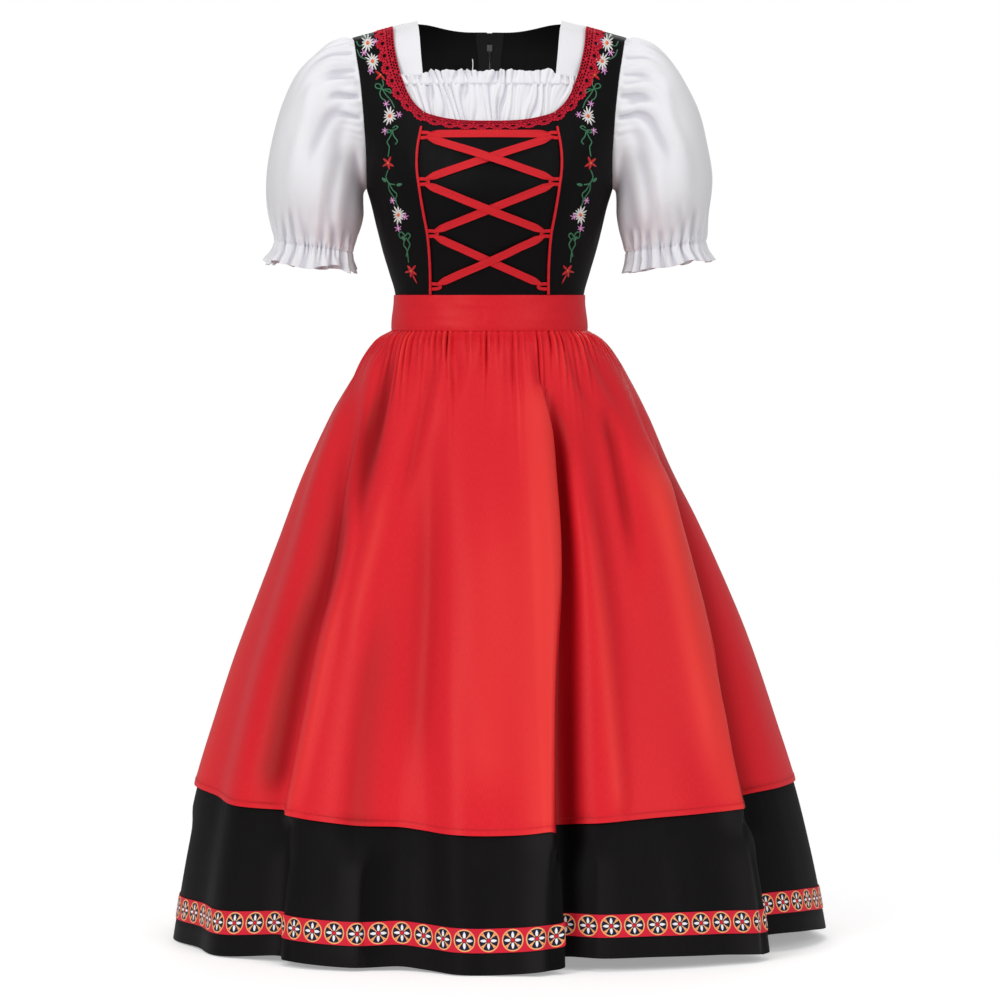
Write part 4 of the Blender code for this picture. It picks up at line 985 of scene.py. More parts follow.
up = np.linspace(0, 1, 18)[:, None]
edge_x = share * mix(INSERT_HEAD_X - 5.0, INSERT_HEAD_X - 2.0, up)
wave = gathered_cotton(share, 1 + up * 0.5, INSERT_FOLDS, 41)
over_strap = ease(np.abs(edge_x), STRAP_FOOT_X - 8, STRAP_FOOT_X)
rise = FRILL_HEIGHT - 1.5 + 1.2 * uneven(share * 6, 0 * up, 44) - 5.5 * over_strap
z = ELASTIC_HEIGHT - 1.0 + up * (rise + 1.3)
pinch = -0.8 * bell(up, 0.16)
x = edge_x + 0.9 * uneven(share * 7, up, 45) * up
relief = wave * mix(INSERT_FOLD * 0.7, FRILL_WAVE, ease(up, 0.1, 0.9)) + pinch + 1.2
points = front_raised(x, z, relief - INSERT_SUNK + 0.5 + 1.6 * over_strap)
# Painted shade in the frill's fold depths, and more along the elastic at its foot.
painted_fold_shade = relief / 1.9 - 0.5 - 1.1 * bell(up, 0.14)
made = cloth("blouse_frill", points, cotton, BLOUSE_CLOTH, fold=painted_fold_shade)
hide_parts("insert_frill")

# A loose end of white thread stands up from the frill, a little to the wearer's right.
root = points[-1, np.argmin(np.abs(points[-1, :, 0] - THREAD_X))]
rise = np.linspace(-3, 12, 7)[:, None]
thread_end = root + rise * (0, 0, 1) + 0.5 * np.sin(rise / 4) * (1, 0, 0)
made = cords("loose_thread", [thread_end], THREAD_RADIUS, cotton, 5)

for side, name in SIDES:
    share = np.sort(side * np.linspace(0, 1, 20))[None]
    up = np.linspace(0, 0.975, 50)[:, None]
    out = side * share
    neck_x = np.interp(ELASTIC_HEIGHT, NECKLINE["z"][CORNER:], NECKLINE["x"][CORNER:])
    foot_x = mix(STRAP_FOOT_X, neck_x + STRAP_OVERLAP, out)
    foot = level_at(foot_x, ELASTIC_HEIGHT + SEAM_GAP / 2 + 0 * foot_x)
    strap_level = mix(foot, TOP_LEVEL, up)
    outer = smooth(strap_level, neckline_level, NECKLINE["x"]) + STRAP_OVERLAP
    x = mix(mix(STRAP_FOOT_X, NECK_CORNER_X, up), outer, out)
    points = torso(side * front_angle(x, strap_level), strap_level)
    points[..., 2] += STRAP_RISE * ease(up, 0.8, 1)
    seam = 0.2 * bell(out - 0.12, 0.03)
    soft = 0.35 * uneven(out * 1.5 + side, up * 4, 47) - seam
    sunk = 1.9 + 3.0 * (1 - ease(up, 0.1, 0.35))
    made = cloth(f"blouse_strap_{name}", raised(points, soft - sunk), cotton, 0.9)
    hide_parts(f"insert_strap_{name}")


# The crochet lace round the neckline, one piece of thread work. Each repeat is a plate
# with an eyelet and small gaps, and cords that stand for its crocheted rows: two rows of
# mesh along the neck, rings round the eyelets, and a picot edge.

LACE_SCALLOPS, LACE_MARGIN = 26, 0.004
LACE_RAISED = BODICE_CLOTH + LAYER_GAP
LACE_WIDTH = table(
    "from_middle width", (0, 11), (0.38, 11.5), (0.45, 15), (0.53, 19), (0.65, 21.5), (1, 24)
)


def neckline_path(share):
    """The neckline from the right shoulder, 0, round the front to the left, 1."""
    levels = np.concatenate([neckline_level[:0:-1], neckline_level])
    x = np.concatenate([-NECKLINE["x"][:0:-1], NECKLINE["x"]])
    line = torso(front_angle(x, levels), levels)
    way = distances(line) / distances(line)[-1]
    return smooth(share, way, x), smooth(share, way, levels)


def lace_grid():
    """The bodice beside the neckline, as a grid of places: one row for each step away
    from the edge, found by walking square to the edge on the bodice's surface."""
    share = np.linspace(0, 1, 521)
    x, level = neckline_path(share)
    steps, step = 16, 1e-3
    ahead = neckline_path(np.clip(share + step, 0, 1))
    before = neckline_path(np.clip(share - step, 0, 1))
    run_x, run_level = ahead[0] - before[0], ahead[1] - before[1]
    width = np.interp(abs(2 * share - 1), LACE_WIDTH["from_middle"], LACE_WIDTH["width"])
    rows, normal_rows = [], []
    for _ in range(steps + 1):
        # A step aside on the surface, worked out as steps in x and in level.
        point = torso(front_angle(x, level), level)
        by_x = (torso(front_angle(x + step, level), level) - point) / step
        by_level = (point - torso(front_angle(x, level - step), level - step)) / step
        normal = unit(np.cross(by_x, by_level))
        rows.append(point)
        normal_rows.append(normal)
        along = by_x * run_x[:, None] + by_level * run_level[:, None]
        aside = unit(np.cross(along, normal))
        xx, xl, ll = (by_x**2).sum(-1), (by_x * by_level).sum(-1), (by_level**2).sum(-1)
        ax, al = (aside * by_x).sum(-1), (aside * by_level).sum(-1)
        det = xx * ll - xl * xl
        x = x + width / steps * (ax * ll - al * xl) / det
        level = np.minimum(level + width / steps * (al * xx - ax * xl) / det, 1.0)
    return np.array(rows), np.array(normal_rows)


lace_rows, lace_normals = lace_grid()


def on_lace(along, across, lift):
    """A place on the lace: along in repeats, across as a share of its width."""
    share = LACE_MARGIN + np.asarray(along, float) / LACE_SCALLOPS * (1 - 2 * LACE_MARGIN)
    column = np.clip(share * (lace_rows.shape[1] - 1), 0, lace_rows.shape[1] - 1.001)
    row = np.clip(np.asarray(across, float) * (len(lace_rows) - 1), 0, len(lace_rows) - 1.001)
    j, i = column.astype(int), row.astype(int)
    s, t = (column - j)[..., None], (row - i)[..., None]

    def read(grid):
        low, high = (mix(grid[k, j], grid[k, j + 1], s) for k in (i, i + 1))
        return mix(low, high, t)

    return read(lace_rows) + read(lace_normals) * (LACE_RAISED + np.asarray(lift))[..., None]


crochet = Finish("red_crochet_thread", rgb(206, 24, 50), 0.66, sheen_weight=0.03, specular_ior_level=0.2)
crochet.relief(crochet.noise(1500, 1500, at=crochet.place, detail=3), 0.25, 0.7)
crochet.relief((crochet.along + crochet.across).wave(0.0009), 0.15, 0.6)
speckle = crochet.noise(900, 900, at=crochet.place)
crochet.colour(crochet.mixed(speckle, rgb(178, 16, 42), rgb(226, 34, 62)))

# The plate of one repeat: a scalloped outline with round gaps cut out of it. Each gap
# has its middle, along and across, and its half-sizes. along runs from 0 to 1, and
# across from 0, the neck, to 1, the tip of the scallop.
EYELET = (0.5, 0.63, 0.155, 0.11)
GAPS = [EYELET, (0.1, 0.55, 0.07, 0.05), (0.9, 0.55, 0.07, 0.05)]
for across, places in ((0.1, (1, 3, 5, 7)), (0.235, (2, 4, 6)), (0.37, (1, 3, 5, 7))):
    GAPS += [(place / 8, across, 0.098, 0.058) for place in places]
for turned in (0.15, 0.87, 1.57, 2.27, 2.99):
    GAPS.append((0.5 + 0.29 * math.cos(turned), 0.63 + 0.21 * math.sin(turned), 0.05, 0.04))


def scallop(along):
    """The lace's outer edge across one repeat, as a share of the full width."""
    bow = np.sin(math.pi * np.asarray(along)) ** 0.75
    return 0.66 + 0.31 * bow + 0.018 * np.abs(np.sin(5 * math.pi * np.asarray(along)))


plate_points = [(x, 0.0) for x in np.linspace(0, 1, 13)]
plate_points += [(x, float(scallop(x))) for x in np.linspace(1, 0, 21)]
edges = [(k, (k + 1) % len(plate_points)) for k in range(len(plate_points))]
for a, c, wide, tall in GAPS:
    first, sides = len(plate_points), 12 if wide > 0.1 else 7
    for k in range(sides):
        turned = 2 * math.pi * k / sides
        plate_points.append((a + wide * math.cos(turned), c + tall * math.sin(turned)))
    edges += [(first + k, first + (k + 1) % sides) for k in range(sides)]
cut = geometry.delaunay_2d_cdt([Vector(p) for p in plate_points], edges, [], 1, 1e-5)
flat = np.array([tuple(v) for v in cut[0]])
kept = []
for face in cut[2]:
    x, y = flat[list(face)].mean(axis=0)
    gaps_here = [((x - a) / w) ** 2 + ((y - c) / t) ** 2 < 0.97 for a, c, w, t in GAPS]
    if not any(gaps_here) and y < scallop(x) + 0.01:
        kept.append(list(face))
border = dict.fromkeys((a, b) for face in kept for a, b in zip(face, face[1:] + face[:1]))
rim = [(a, b) for a, b in border if (b, a) not in border]

points, faces = [], []
count = len(flat)
for k in range(LACE_SCALLOPS):
    for lift in (0.55, 0.1):
        points.append(on_lace(flat[:, 0] + k, flat[:, 1], np.full(count, lift)))
    first = 2 * count * k
    faces += [[first + v for v in face[::-1]] for face in kept]
    faces += [[first + count + v for v in face] for face in kept]
    faces += [[first + a, first + b, first + count + b, first + count + a] for a, b in rim]
lace_mesh = bpy.data.meshes.new("lace_ground")
lace_mesh.from_pydata((np.concatenate(points) * MM).tolist(), [], faces)
lace_mesh.validate()
lace_mesh.materials.append(crochet.material)
lace_mesh.uv_layers.new(name="cloth")
lace_piece = bpy.data.objects.new("lace_ground", lace_mesh)
bpy.context.scene.collection.objects.link(lace_piece)
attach(lace_piece, BODY)
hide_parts("neck_lace")

whole = np.linspace(0.02, LACE_SCALLOPS - 0.02, 720)
rows_of_thread = [on_lace(whole, 0.012 + 0 * whole, 0.5 + 0.12 * np.cos(whole * 80))]
for across in (0.17, 0.3):
    rows_of_thread.append(on_lace(whole, across + 0.006 * np.cos(whole * 38), 0.62 + 0 * whole))
edge_line = scallop(whole % 1.0) - 0.03
rows_of_thread.append(on_lace(whole, edge_line, 0.55 + 0 * whole))
made = cords("lace_rows", rows_of_thread, 0.28, crochet, 5)


def ring_round(gap, repeat, grow, lift, sides):
    """A ring of thread round a gap of one repeat, larger than the gap by a factor."""
    turn = np.linspace(0, 2 * math.pi, sides, endpoint=False)
    a, c, wide, tall = gap
    along, across = a + wide * grow * np.cos(turn), c + tall * grow * np.sin(turn)
    return on_lace(repeat + along, across, np.full(sides, lift))


rings = []
for k in range(LACE_SCALLOPS):
    rings += [ring_round(EYELET, k, 1.15, 0.75, 16), ring_round(EYELET, k, 1.5, 0.65, 16)]
    rings += [ring_round(gap, k, 1.2, 0.6, 8) for gap in GAPS[1:]]
made = cords("lace_rings", rings, 0.24, crochet, 4, closed=True)
PICOT = table(
    "along across radius",
    (-0.07, -0.05, 0.4),
    (-0.04, -0.005, 0.6),
    (0, 0.012, 0.66),
    (0.04, -0.005, 0.6),
    (0.07, -0.05, 0.4),
)
picots = []
for k in range(LACE_SCALLOPS):
    for a in (0.1, 0.3, 0.5, 0.7, 0.9):
        across = scallop(a) + PICOT["across"]
        picots.append(on_lace(k + a + PICOT["along"], across, np.full(5, 0.45)))
made = cords("lace_picots", picots, PICOT["radius"], crochet, 5)


# The lacing: loops of narrow ribbon sewn into the seams beside the centre front, and a
# grosgrain ribbon that crosses between them, with fine ribs across it.

RIBBON, LACING_WIDTH, LACING_END = 0.9, 8.9, 3.0
LOOP_LENGTH, LOOP_EYE, LOOP_HALF_HEIGHT, LOOP_HALF_WIDTH = 11.0, 8.0, 3.1, 1.85
LACING_OVERSHOOT, BAR_RISE, BAR_OVERLAP, EYE_HALF_HEIGHT = 1.6, 1.2, 2.5, 3.5
LOOP_HEIGHTS = (-124.0, -178.0, -238.0, -300.0)
LOOP_RAISED = BODICE_CLOTH + LAYER_GAP
LACING_RAISED = LOOP_RAISED + RIBBON + LAYER_GAP

grosgrain = Finish("red_grosgrain", rgb(212, 22, 34), 0.6, sheen_weight=0.05, specular_ior_level=0.2)
grosgrain.relief(grosgrain.across.wave(0.00095), 0.16, 0.75)
grosgrain.relief(grosgrain.along.wave(0.0004), 0.04, 0.4)
# Painted highlight and shade: lighter on the ribs and darker between them, in step with their bump.
grosgrain.colour(grosgrain.mixed(grosgrain.across.wave(0.00095), rgb(198, 18, 30), rgb(234, 38, 48)))


def seam_x(z):
    return smooth(z, PIPING_LINE["z"], PIPING_LINE["x"])


def loop_eye_x(z):
    return seam_x(z) - PIPING_RADIUS - LOOP_EYE


for number, z in enumerate(LOOP_HEIGHTS, 1):
    for side, name in SIDES:
        # The ribbon leaves the seam, turns at the eye and comes back below itself.
        t = np.linspace(0, 1, 40)[:, None]
        turn = math.pi * (t - 0.5) * 1.04
        reach = LOOP_LENGTH * (1 - np.abs(2 * t - 1) ** 2.6) - 1.1
        middle_z = z - LOOP_HALF_HEIGHT * np.sin(turn)
        across = np.linspace(-1, 1, 6)[None]
        spread = LOOP_HALF_WIDTH * across
        angle = np.arctan2(np.gradient(middle_z[:, 0]), -np.gradient(reach[:, 0]))[:, None]
        x = seam_x(middle_z) - PIPING_RADIUS + 0.15 - reach - spread * np.sin(angle)
        loop_z = middle_z + spread * np.cos(angle)
        lift = LOOP_RAISED + 0.45 + 0.25 * np.cos(across * 1.4) + 0.5 * np.sin(math.pi * t) ** 2
        points = front_raised(side * x, loop_z, lift)
        points = points[:, ::-1] if side < 0 else points
        made = cloth(f"ribbon_loop_{name}_{number}", points, grosgrain, 0.7)
        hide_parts(f"lacing_loop_{name}_{number}")


def lacing_strip(name, start, end, over, raised_by, node):
    """A ribbon from one loop's eye to another's. It narrows and crumples as it enters
    the loops, and over lifts it where it crosses the other ribbon."""
    start, end = np.array(start, float), np.array(end, float)
    direction = (end - start) / np.linalg.norm(end - start)
    start, end = start - LACING_OVERSHOOT * direction, end + LACING_OVERSHOOT * direction
    side = np.array([direction[1], -direction[0]])
    v = np.linspace(0, 1, 84)[:, None]
    u = np.linspace(-1, 1, 9)[None]
    near_end = np.minimum(v, 1 - v)
    width = mix(LACING_END, LACING_WIDTH, ease(near_end, 0.0, 0.085) ** 0.7)
    middle = start + (end - start) * v[..., None]
    place = middle + side * (u * width / 2)[..., None]
    lifted = over * (RIBBON + 0.8) * (1 - ease(np.abs(v - 0.5), 0.12, 0.3))
    crumple = 0.55 * np.cos(3.4 * u + 2 * start[0]) * (1 - ease(near_end, 0.02, 0.13))
    sway = 0.5 * np.sin(5 * v + start[1]) * u * ease(near_end, 0, 0.2)
    sway = sway + 0.3 * uneven(v * 6, u, 7)
    border = 0.12 * bell(1 - np.abs(u), 0.12)
    lift = raised_by + RIBBON / 2 + lifted + crumple + np.abs(sway) + border
    points = front_raised(place[..., 0], place[..., 1], lift)
    made = cloth(name, points, grosgrain, RIBBON * 0.8)
    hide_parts(node)


eyes = [(loop_eye_x(z), z) for z in LOOP_HEIGHTS]
shorten = LOOP_LENGTH - LOOP_EYE + SEAM_GAP + PIPING_RADIUS - BAR_OVERLAP
bar_x, bar_z = eyes[0][0] - shorten, eyes[0][1] + BAR_RISE
lacing_strip("lace_ribbon_top", (-bar_x, bar_z), (bar_x, bar_z), 0, LOOP_RAISED, "lacing_top")
for number, ((x0, z0), (x1, z1)) in enumerate(zip(eyes, eyes[1:]), 1):
    from_z, to_z = z0 - EYE_HALF_HEIGHT, z1 + EYE_HALF_HEIGHT
    for side, name in SIDES[::-1]:
        over = (number != 3) == (name == "right")
        start, end = (side * x0, from_z), (-side * x1, to_z)
        piece, node = f"lace_ribbon_{number}_{name}", f"lacing_{number}_{name}"
        lacing_strip(piece, start, end, over, LACING_RAISED, node)


# The sleeves: puffed white cotton, gathered into the armhole over the shoulder and drawn
# in by an elastic above a narrow frill.

SLEEVE = table(
    "share outer_x outer_z inner_x inner_z depth",
    (0.00, 164, -7, 146, -184, 52),
    (0.14, 197, -15, 151, -188, 62),
    (0.28, 225, -41, 152, -196, 72),
    (0.42, 245, -79, 152, -205, 79),
    (0.56, 259, -122, 152, -215, 82),
    (0.70, 266, -167, 154, -228, 79),
    (0.84, 264, -208, 158, -242, 66),
    (0.93, 259, -235, 163, -254, 52),
    (1.00, 256, -247, 166, -260, 46),
    (1.06, 259, -258, 165, -270, 50),
    (1.12, 267.5, -270.5, 161, -283, 56),
)
ARMHOLE_GAP, SLEEVE_GATHERS = 1.1, 20
HEAD_GATHER, CUFF_GATHER, FRILL_DEPTH, SLEEVE_CLOTH = 2.4, 2.3, 1.5, 0.8

# Creases as they show from the front on one sleeve; the other has them mirrored, and a
# little apart. The back has the same sort.
SLEEVE_CREASES = (
    (-2.6, 7, 11, 0.1, 0.4, (158, -73), (178, -90), (195, -110), (212, -143), (219, -173)),
    (2.4, 12, 9, 0.2, 0.4, (176, -50), (206, -61), (217, -104), (229, -137), (237, -193), (226, -229)),
    (-1.8, 5, 7, 0.1, 0.3, (165, -43), (185, -50), (203, -59), (208, -72)),
    (-2.6, 10, 14, 0.2, 0.2, (158, -130), (161, -167), (170, -209), (178, -254)),
    (-2.2, 9, 12, 0.3, 0.3, (170, -120), (178, -152), (190, -203), (196, -236)),
    (1.9, 10, 9, 0.3, 0.2, (164, -110), (172, -160), (182, -208), (186, -246)),
    (1.8, 9, 8, 0.3, 0.2, (196, -150), (203, -190), (210, -240)),
    (-1.8, 6, 7, 0.5, 0.2, (244, -190), (243, -226), (246, -246)),
    (-1.5, 5, 6, 0.5, 0.2, (212, -200), (215, -228), (217, -246)),
    (-1.6, 5, 6, 0.5, 0.2, (190, -205), (190, -228), (187, -254)),
    (-1.4, 5, 6, 0.5, 0.2, (199, -192), (201, -215), (203, -252)),
    (-1.6, 6, 5, 0.5, 0.2, (226, -188), (230, -215), (232, -246)),
    (-1.3, 6, 7, 0.1, 0.5, (160, -60), (182, -74), (200, -92)),
    (1.3, 7, 6, 0.1, 0.5, (162, -34), (190, -38), (214, -56)),
    (-1.4, 8, 9, 0.1, 0.5, (162, -92), (176, -120), (182, -150)),
)


def armhole_ring(turn):
    """The armhole's edge, from the shoulder over the front to the underarm and back."""
    rows = np.linspace(UNDERARM, TOP_LEVEL, 60)
    angle = outer_angle(rows) + ARMHOLE_GAP / half_width(rows)
    angle[0] = math.pi / 2
    front, rear = torso(angle, rows), torso(math.pi - angle, rows)
    round_by = np.abs((turn / math.pi + 1) % 2 - 1) * math.pi
    level = mix(TOP_LEVEL, UNDERARM, np.sin(round_by / 2))
    places = [
        np.where(np.sin(turn) >= 0, np.interp(level, rows, f), np.interp(level, rows, r))
        for f, r in zip(front.T, rear.T)
    ]
    places[2] = places[2] + 2 * ARMHOLE_GAP * ease(-np.cos(turn), 0.5, 0.9)
    return np.stack(places, axis=-1)


def sleeve_ring(turn, share):
    """A ring round the arm, given by its outer and inner ends and its depth."""
    read = {name: smooth(share, SLEEVE["share"], SLEEVE[name]) for name in SLEEVE}
    out = (1 + np.cos(turn)) / 2
    x = mix(read["inner_x"], read["outer_x"], out)
    z = mix(read["inner_z"], read["outer_z"], out)
    return stacked(x, -read["depth"] * np.sin(turn), z)


def sleeve(turn, share, seed):
    """A left sleeve with its gathers and creases, and the painted shade for its folds.
    turn goes round the arm from its outer side over the front, and share down it from
    the armhole, 0, past the elastic, 1."""
    turn, share = np.broadcast_arrays(turn, share)
    start = armhole_ring(turn) - sleeve_ring(turn, np.zeros_like(share))
    points = sleeve_ring(turn, share) + start * (1 - ease(share, 0, 0.3))[..., None]
    middle = (sleeve_ring(turn, share) + sleeve_ring(turn + math.pi, share)) / 2
    away = unit(points - middle)
    cos, sin = np.cos(turn), np.sin(turn)
    lean = 0.9 * uneven(2.2 * cos, 2.2 * sin + share * 0.8, seed)
    strong = 0.9 + 0.5 * uneven(3 * cos, 3 * sin + share * 0.6, seed + 1)
    wave = np.cos(SLEEVE_GATHERS * turn + 1.6 * lean) * strong
    fine = bell(share - 1, 0.06) + bell(share, 0.15)
    wave = wave + 0.9 * np.cos(2.4 * SLEEVE_GATHERS * turn - 3 * lean) * fine
    long = 0.5 + 0.5 * uneven(2.6 * cos, 2.6 * sin, seed + 2)
    upper_half = ease(cos, -0.35, 0.4)
    head_end = 1 - ease(share, 0.06, 0.18 + 0.22 * long)
    head = HEAD_GATHER * ease(share, 0, 0.04) * head_end * upper_half
    cuff = CUFF_GATHER * ease(share, 0.72 + 0.12 * long, 0.95)
    frill = FRILL_DEPTH * ease(share, 1.0, 1.12)
    gathered = (head + cuff + frill) * wave - 1.1 * bell(share - 1.0, 0.012)
    y, z = points[..., 1:2], points[..., 2:]
    chart = seen(points) + np.array((2.0, 3.0)) * uneven(z / 60, 0 * z, seed + 3)
    chart = np.where(y > 0, chart + (4.0, -9.0), chart)
    inside = ease(share, 0.03, 0.12) * (1 - ease(share, 0.95, 1.0))
    pulls = 1.5 * creased(chart, *SLEEVE_CREASES) * inside * ease(np.abs(sin), 0.12, 0.4)
    soft = 0.9 * uneven(y[..., 0] / 30, z[..., 0] / 34, seed + 4) * inside
    points[..., 2] += 3.2 * ease(share, 1.03, 1.12) * uneven(3 * cos, 3 * sin, seed + 5)
    relief = gathered + pulls + soft - 0.1
    # The second value is painted shade: the depths of gathers and creases, and the elastic, get greyer.
    return points + away * relief[..., None], gathered / 2.4 + pulls / 4.6


turn = np.linspace(2 * math.pi, 0, 240, endpoint=False)[None]
share = np.sort(np.append(np.linspace(1.12, 0, 76), [0.992, 1.008, 0.02, 0.035]))[::-1, None]
for side, name, seed in ((1, "left", 61), (-1, "right", 71)):
    points, painted_fold_shade = sleeve(turn * side, share, seed)
    points = points * (side, 1, 1)
    made = cloth(f"puff_sleeve_{name}", points, cotton, SLEEVE_CLOTH, closed=True, fold=painted_fold_shade)
    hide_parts(f"sleeve_{name}")


# The skirt: a front and two backs of heavier black cloth, gathered to the bodice and
# opening into deep folds. Its outline is read at each height. The folds say how far the
# cloth stands out, how far it leans round to the wearer's left, half-way down and at
# the hem, and how far the hem is drawn up. Cloth is named by its angle at the waist.

SKIRT_TOP, HEM, BAND_BOTTOM = -333.4, -1079.0, -353.0
SKIRT = table(
    "height half_width front back",
    (-1079, 390, 334, 336),
    (-1020, 380, 326, 328),
    (-965, 369, 317, 318),
    (-893, 352, 302, 303),
    (-821, 329, 284, 284),
    (-749, 305, 264, 262),
    (-677, 278, 241, 238),
    (-605, 250, 216, 212),
    (-533, 220, 189, 185),
    (-485, 198, 169, 164),
    (-437, 176, 148, 143),
    (-413, 163, 137, 131),
    (-389, 149, 124, 118),
    (-370, 133, 110, 103),
    (-353, 112, 94, 86),
    (-333, 112, 94, 86),
)
FOLDS = table(
    "angle out_mid lean_mid out_hem lean_hem lift",
    (-180, -5, 0, -10, 0, 2),
    (-168, 5, 2, 12, 4, 0),
    (-155, -6, 0, -13, 0, 6),
    (-140, 6, -3, 14, -8, 0),
    (-127, -4, 0, -10, 0, 4),
    (-114, 1, 0, 2, 0, 0),
    (-103, -2, 0, -4, 0, 1),
    (-92, 3, -2, 8, -4, 0),
    (-81, -9, 2, -14, 6, 6),
    (-71, 7, -6, 14, -14, 6),
    (-57, 7, 0, 10, 0, 3),
    (-43, -4, 0, -12, 0, 4),
    (-34, -6, 0, -8, 0, 2),
    (-20, 4, 0, 12, 0, 0),
    (0, 5, 0, 14, 0, 0),
    (18, 7, 3, 16, 8, 4),
    (26, 8, 7, 12, 12, 8),
    (33, -12, -2, -20, -8, 14),
    (45, 4, 0, -2, 0, 14),
    (60, -7, 0, 6, 0, 14),
    (74, 8, 3, 15, 8, 12),
    (86, 5, 8, 15, 22, 8),
    (94, -10, -4, -14, -14, 20),
    (106, -2, 0, -2, 0, 18),
    (116, 1, 0, 4, 0, 12),
    (127, -5, 0, -8, 0, 10),
    (140, 6, 3, 14, 8, 2),
    (155, -6, 0, -13, 0, 6),
    (168, 5, -2, 12, -4, 0),
    (180, -5, 0, -10, 0, 2),
)
MID_DEPTH = 0.36
FRONT_FALL = math.radians(38)
SKIRT_SWAY = 11.0
SKIRT_HEIGHT = SKIRT_TOP - HEM
COLUMN = 360 / 184  # half a gather at the waist, in degrees


def ring_size(z):
    """The skirt's half-width and its two depths at a height."""
    heights = SKIRT["height"]
    return tuple(smooth(z, heights, SKIRT[name]) for name in ("half_width", "front", "back"))


def flare(z):
    """The skirt's half-width at a height, at its waist and at its hem, and how far the
    first has come from the second to the third."""
    size, top, bottom = (ring_size(at)[0] for at in (z, BAND_BOTTOM, HEM))
    return size, top, bottom, (size - top) / (bottom - top)


def cloth_angle(cloth_at, z):
    """Where cloth named by its angle at the waist hangs at a height."""
    waist = np.radians(cloth_at)
    hem = waist - FRONT_FALL * np.sin(waist)
    size, top, bottom, share = flare(z)
    return (waist * top * (1 - share) + hem * bottom * share) / size


def round_the_skirt(name, cloth_at):
    """A column of the table of folds, which runs on past the centre back."""
    knots, values = FOLDS["angle"], FOLDS[name]
    knots = np.concatenate([knots[-3:-1] - 360, knots, knots[1:3] + 360])
    return smooth(cloth_at, knots, np.concatenate([values[-3:-1], values, values[1:3]]))


def fold(name, cloth_at, down):
    """A fold's measure at a depth, from none at the waist through the middle one."""
    middle, hem = (round_the_skirt(name + end, cloth_at) for end in ("_mid", "_hem"))
    upper = middle * ease(down, 0.02, MID_DEPTH)
    return upper + (hem - middle) * ease(down, MID_DEPTH * 0.8, 1.0)


def skirt(cloth_at, up):
    """The skirt's form without its gathers: a ring at each height from up 0, the hem,
    to 1, the top, moved out and round by its folds."""
    cloth_at, down = np.broadcast_arrays(np.asarray(cloth_at, float), 1 - np.asarray(up))
    cloth_at = (cloth_at + 180) % 360 - 180
    plain = mix(SKIRT_TOP, HEM, down)
    half, front, rear = ring_size(plain)
    angle = cloth_angle(cloth_at, plain)
    depth = mix(rear, front, ease(np.cos(angle), -0.5, 0.5))
    out, lean = fold("out", cloth_at, down), fold("lean", cloth_at, down)
    x = (half + out) * np.sin(angle) + lean * np.cos(angle) + SKIRT_SWAY * down
    y = lean * np.sin(angle) - (depth + out) * np.cos(angle)
    return stacked(x, y, plain + round_the_skirt("lift", cloth_at) * down**3)


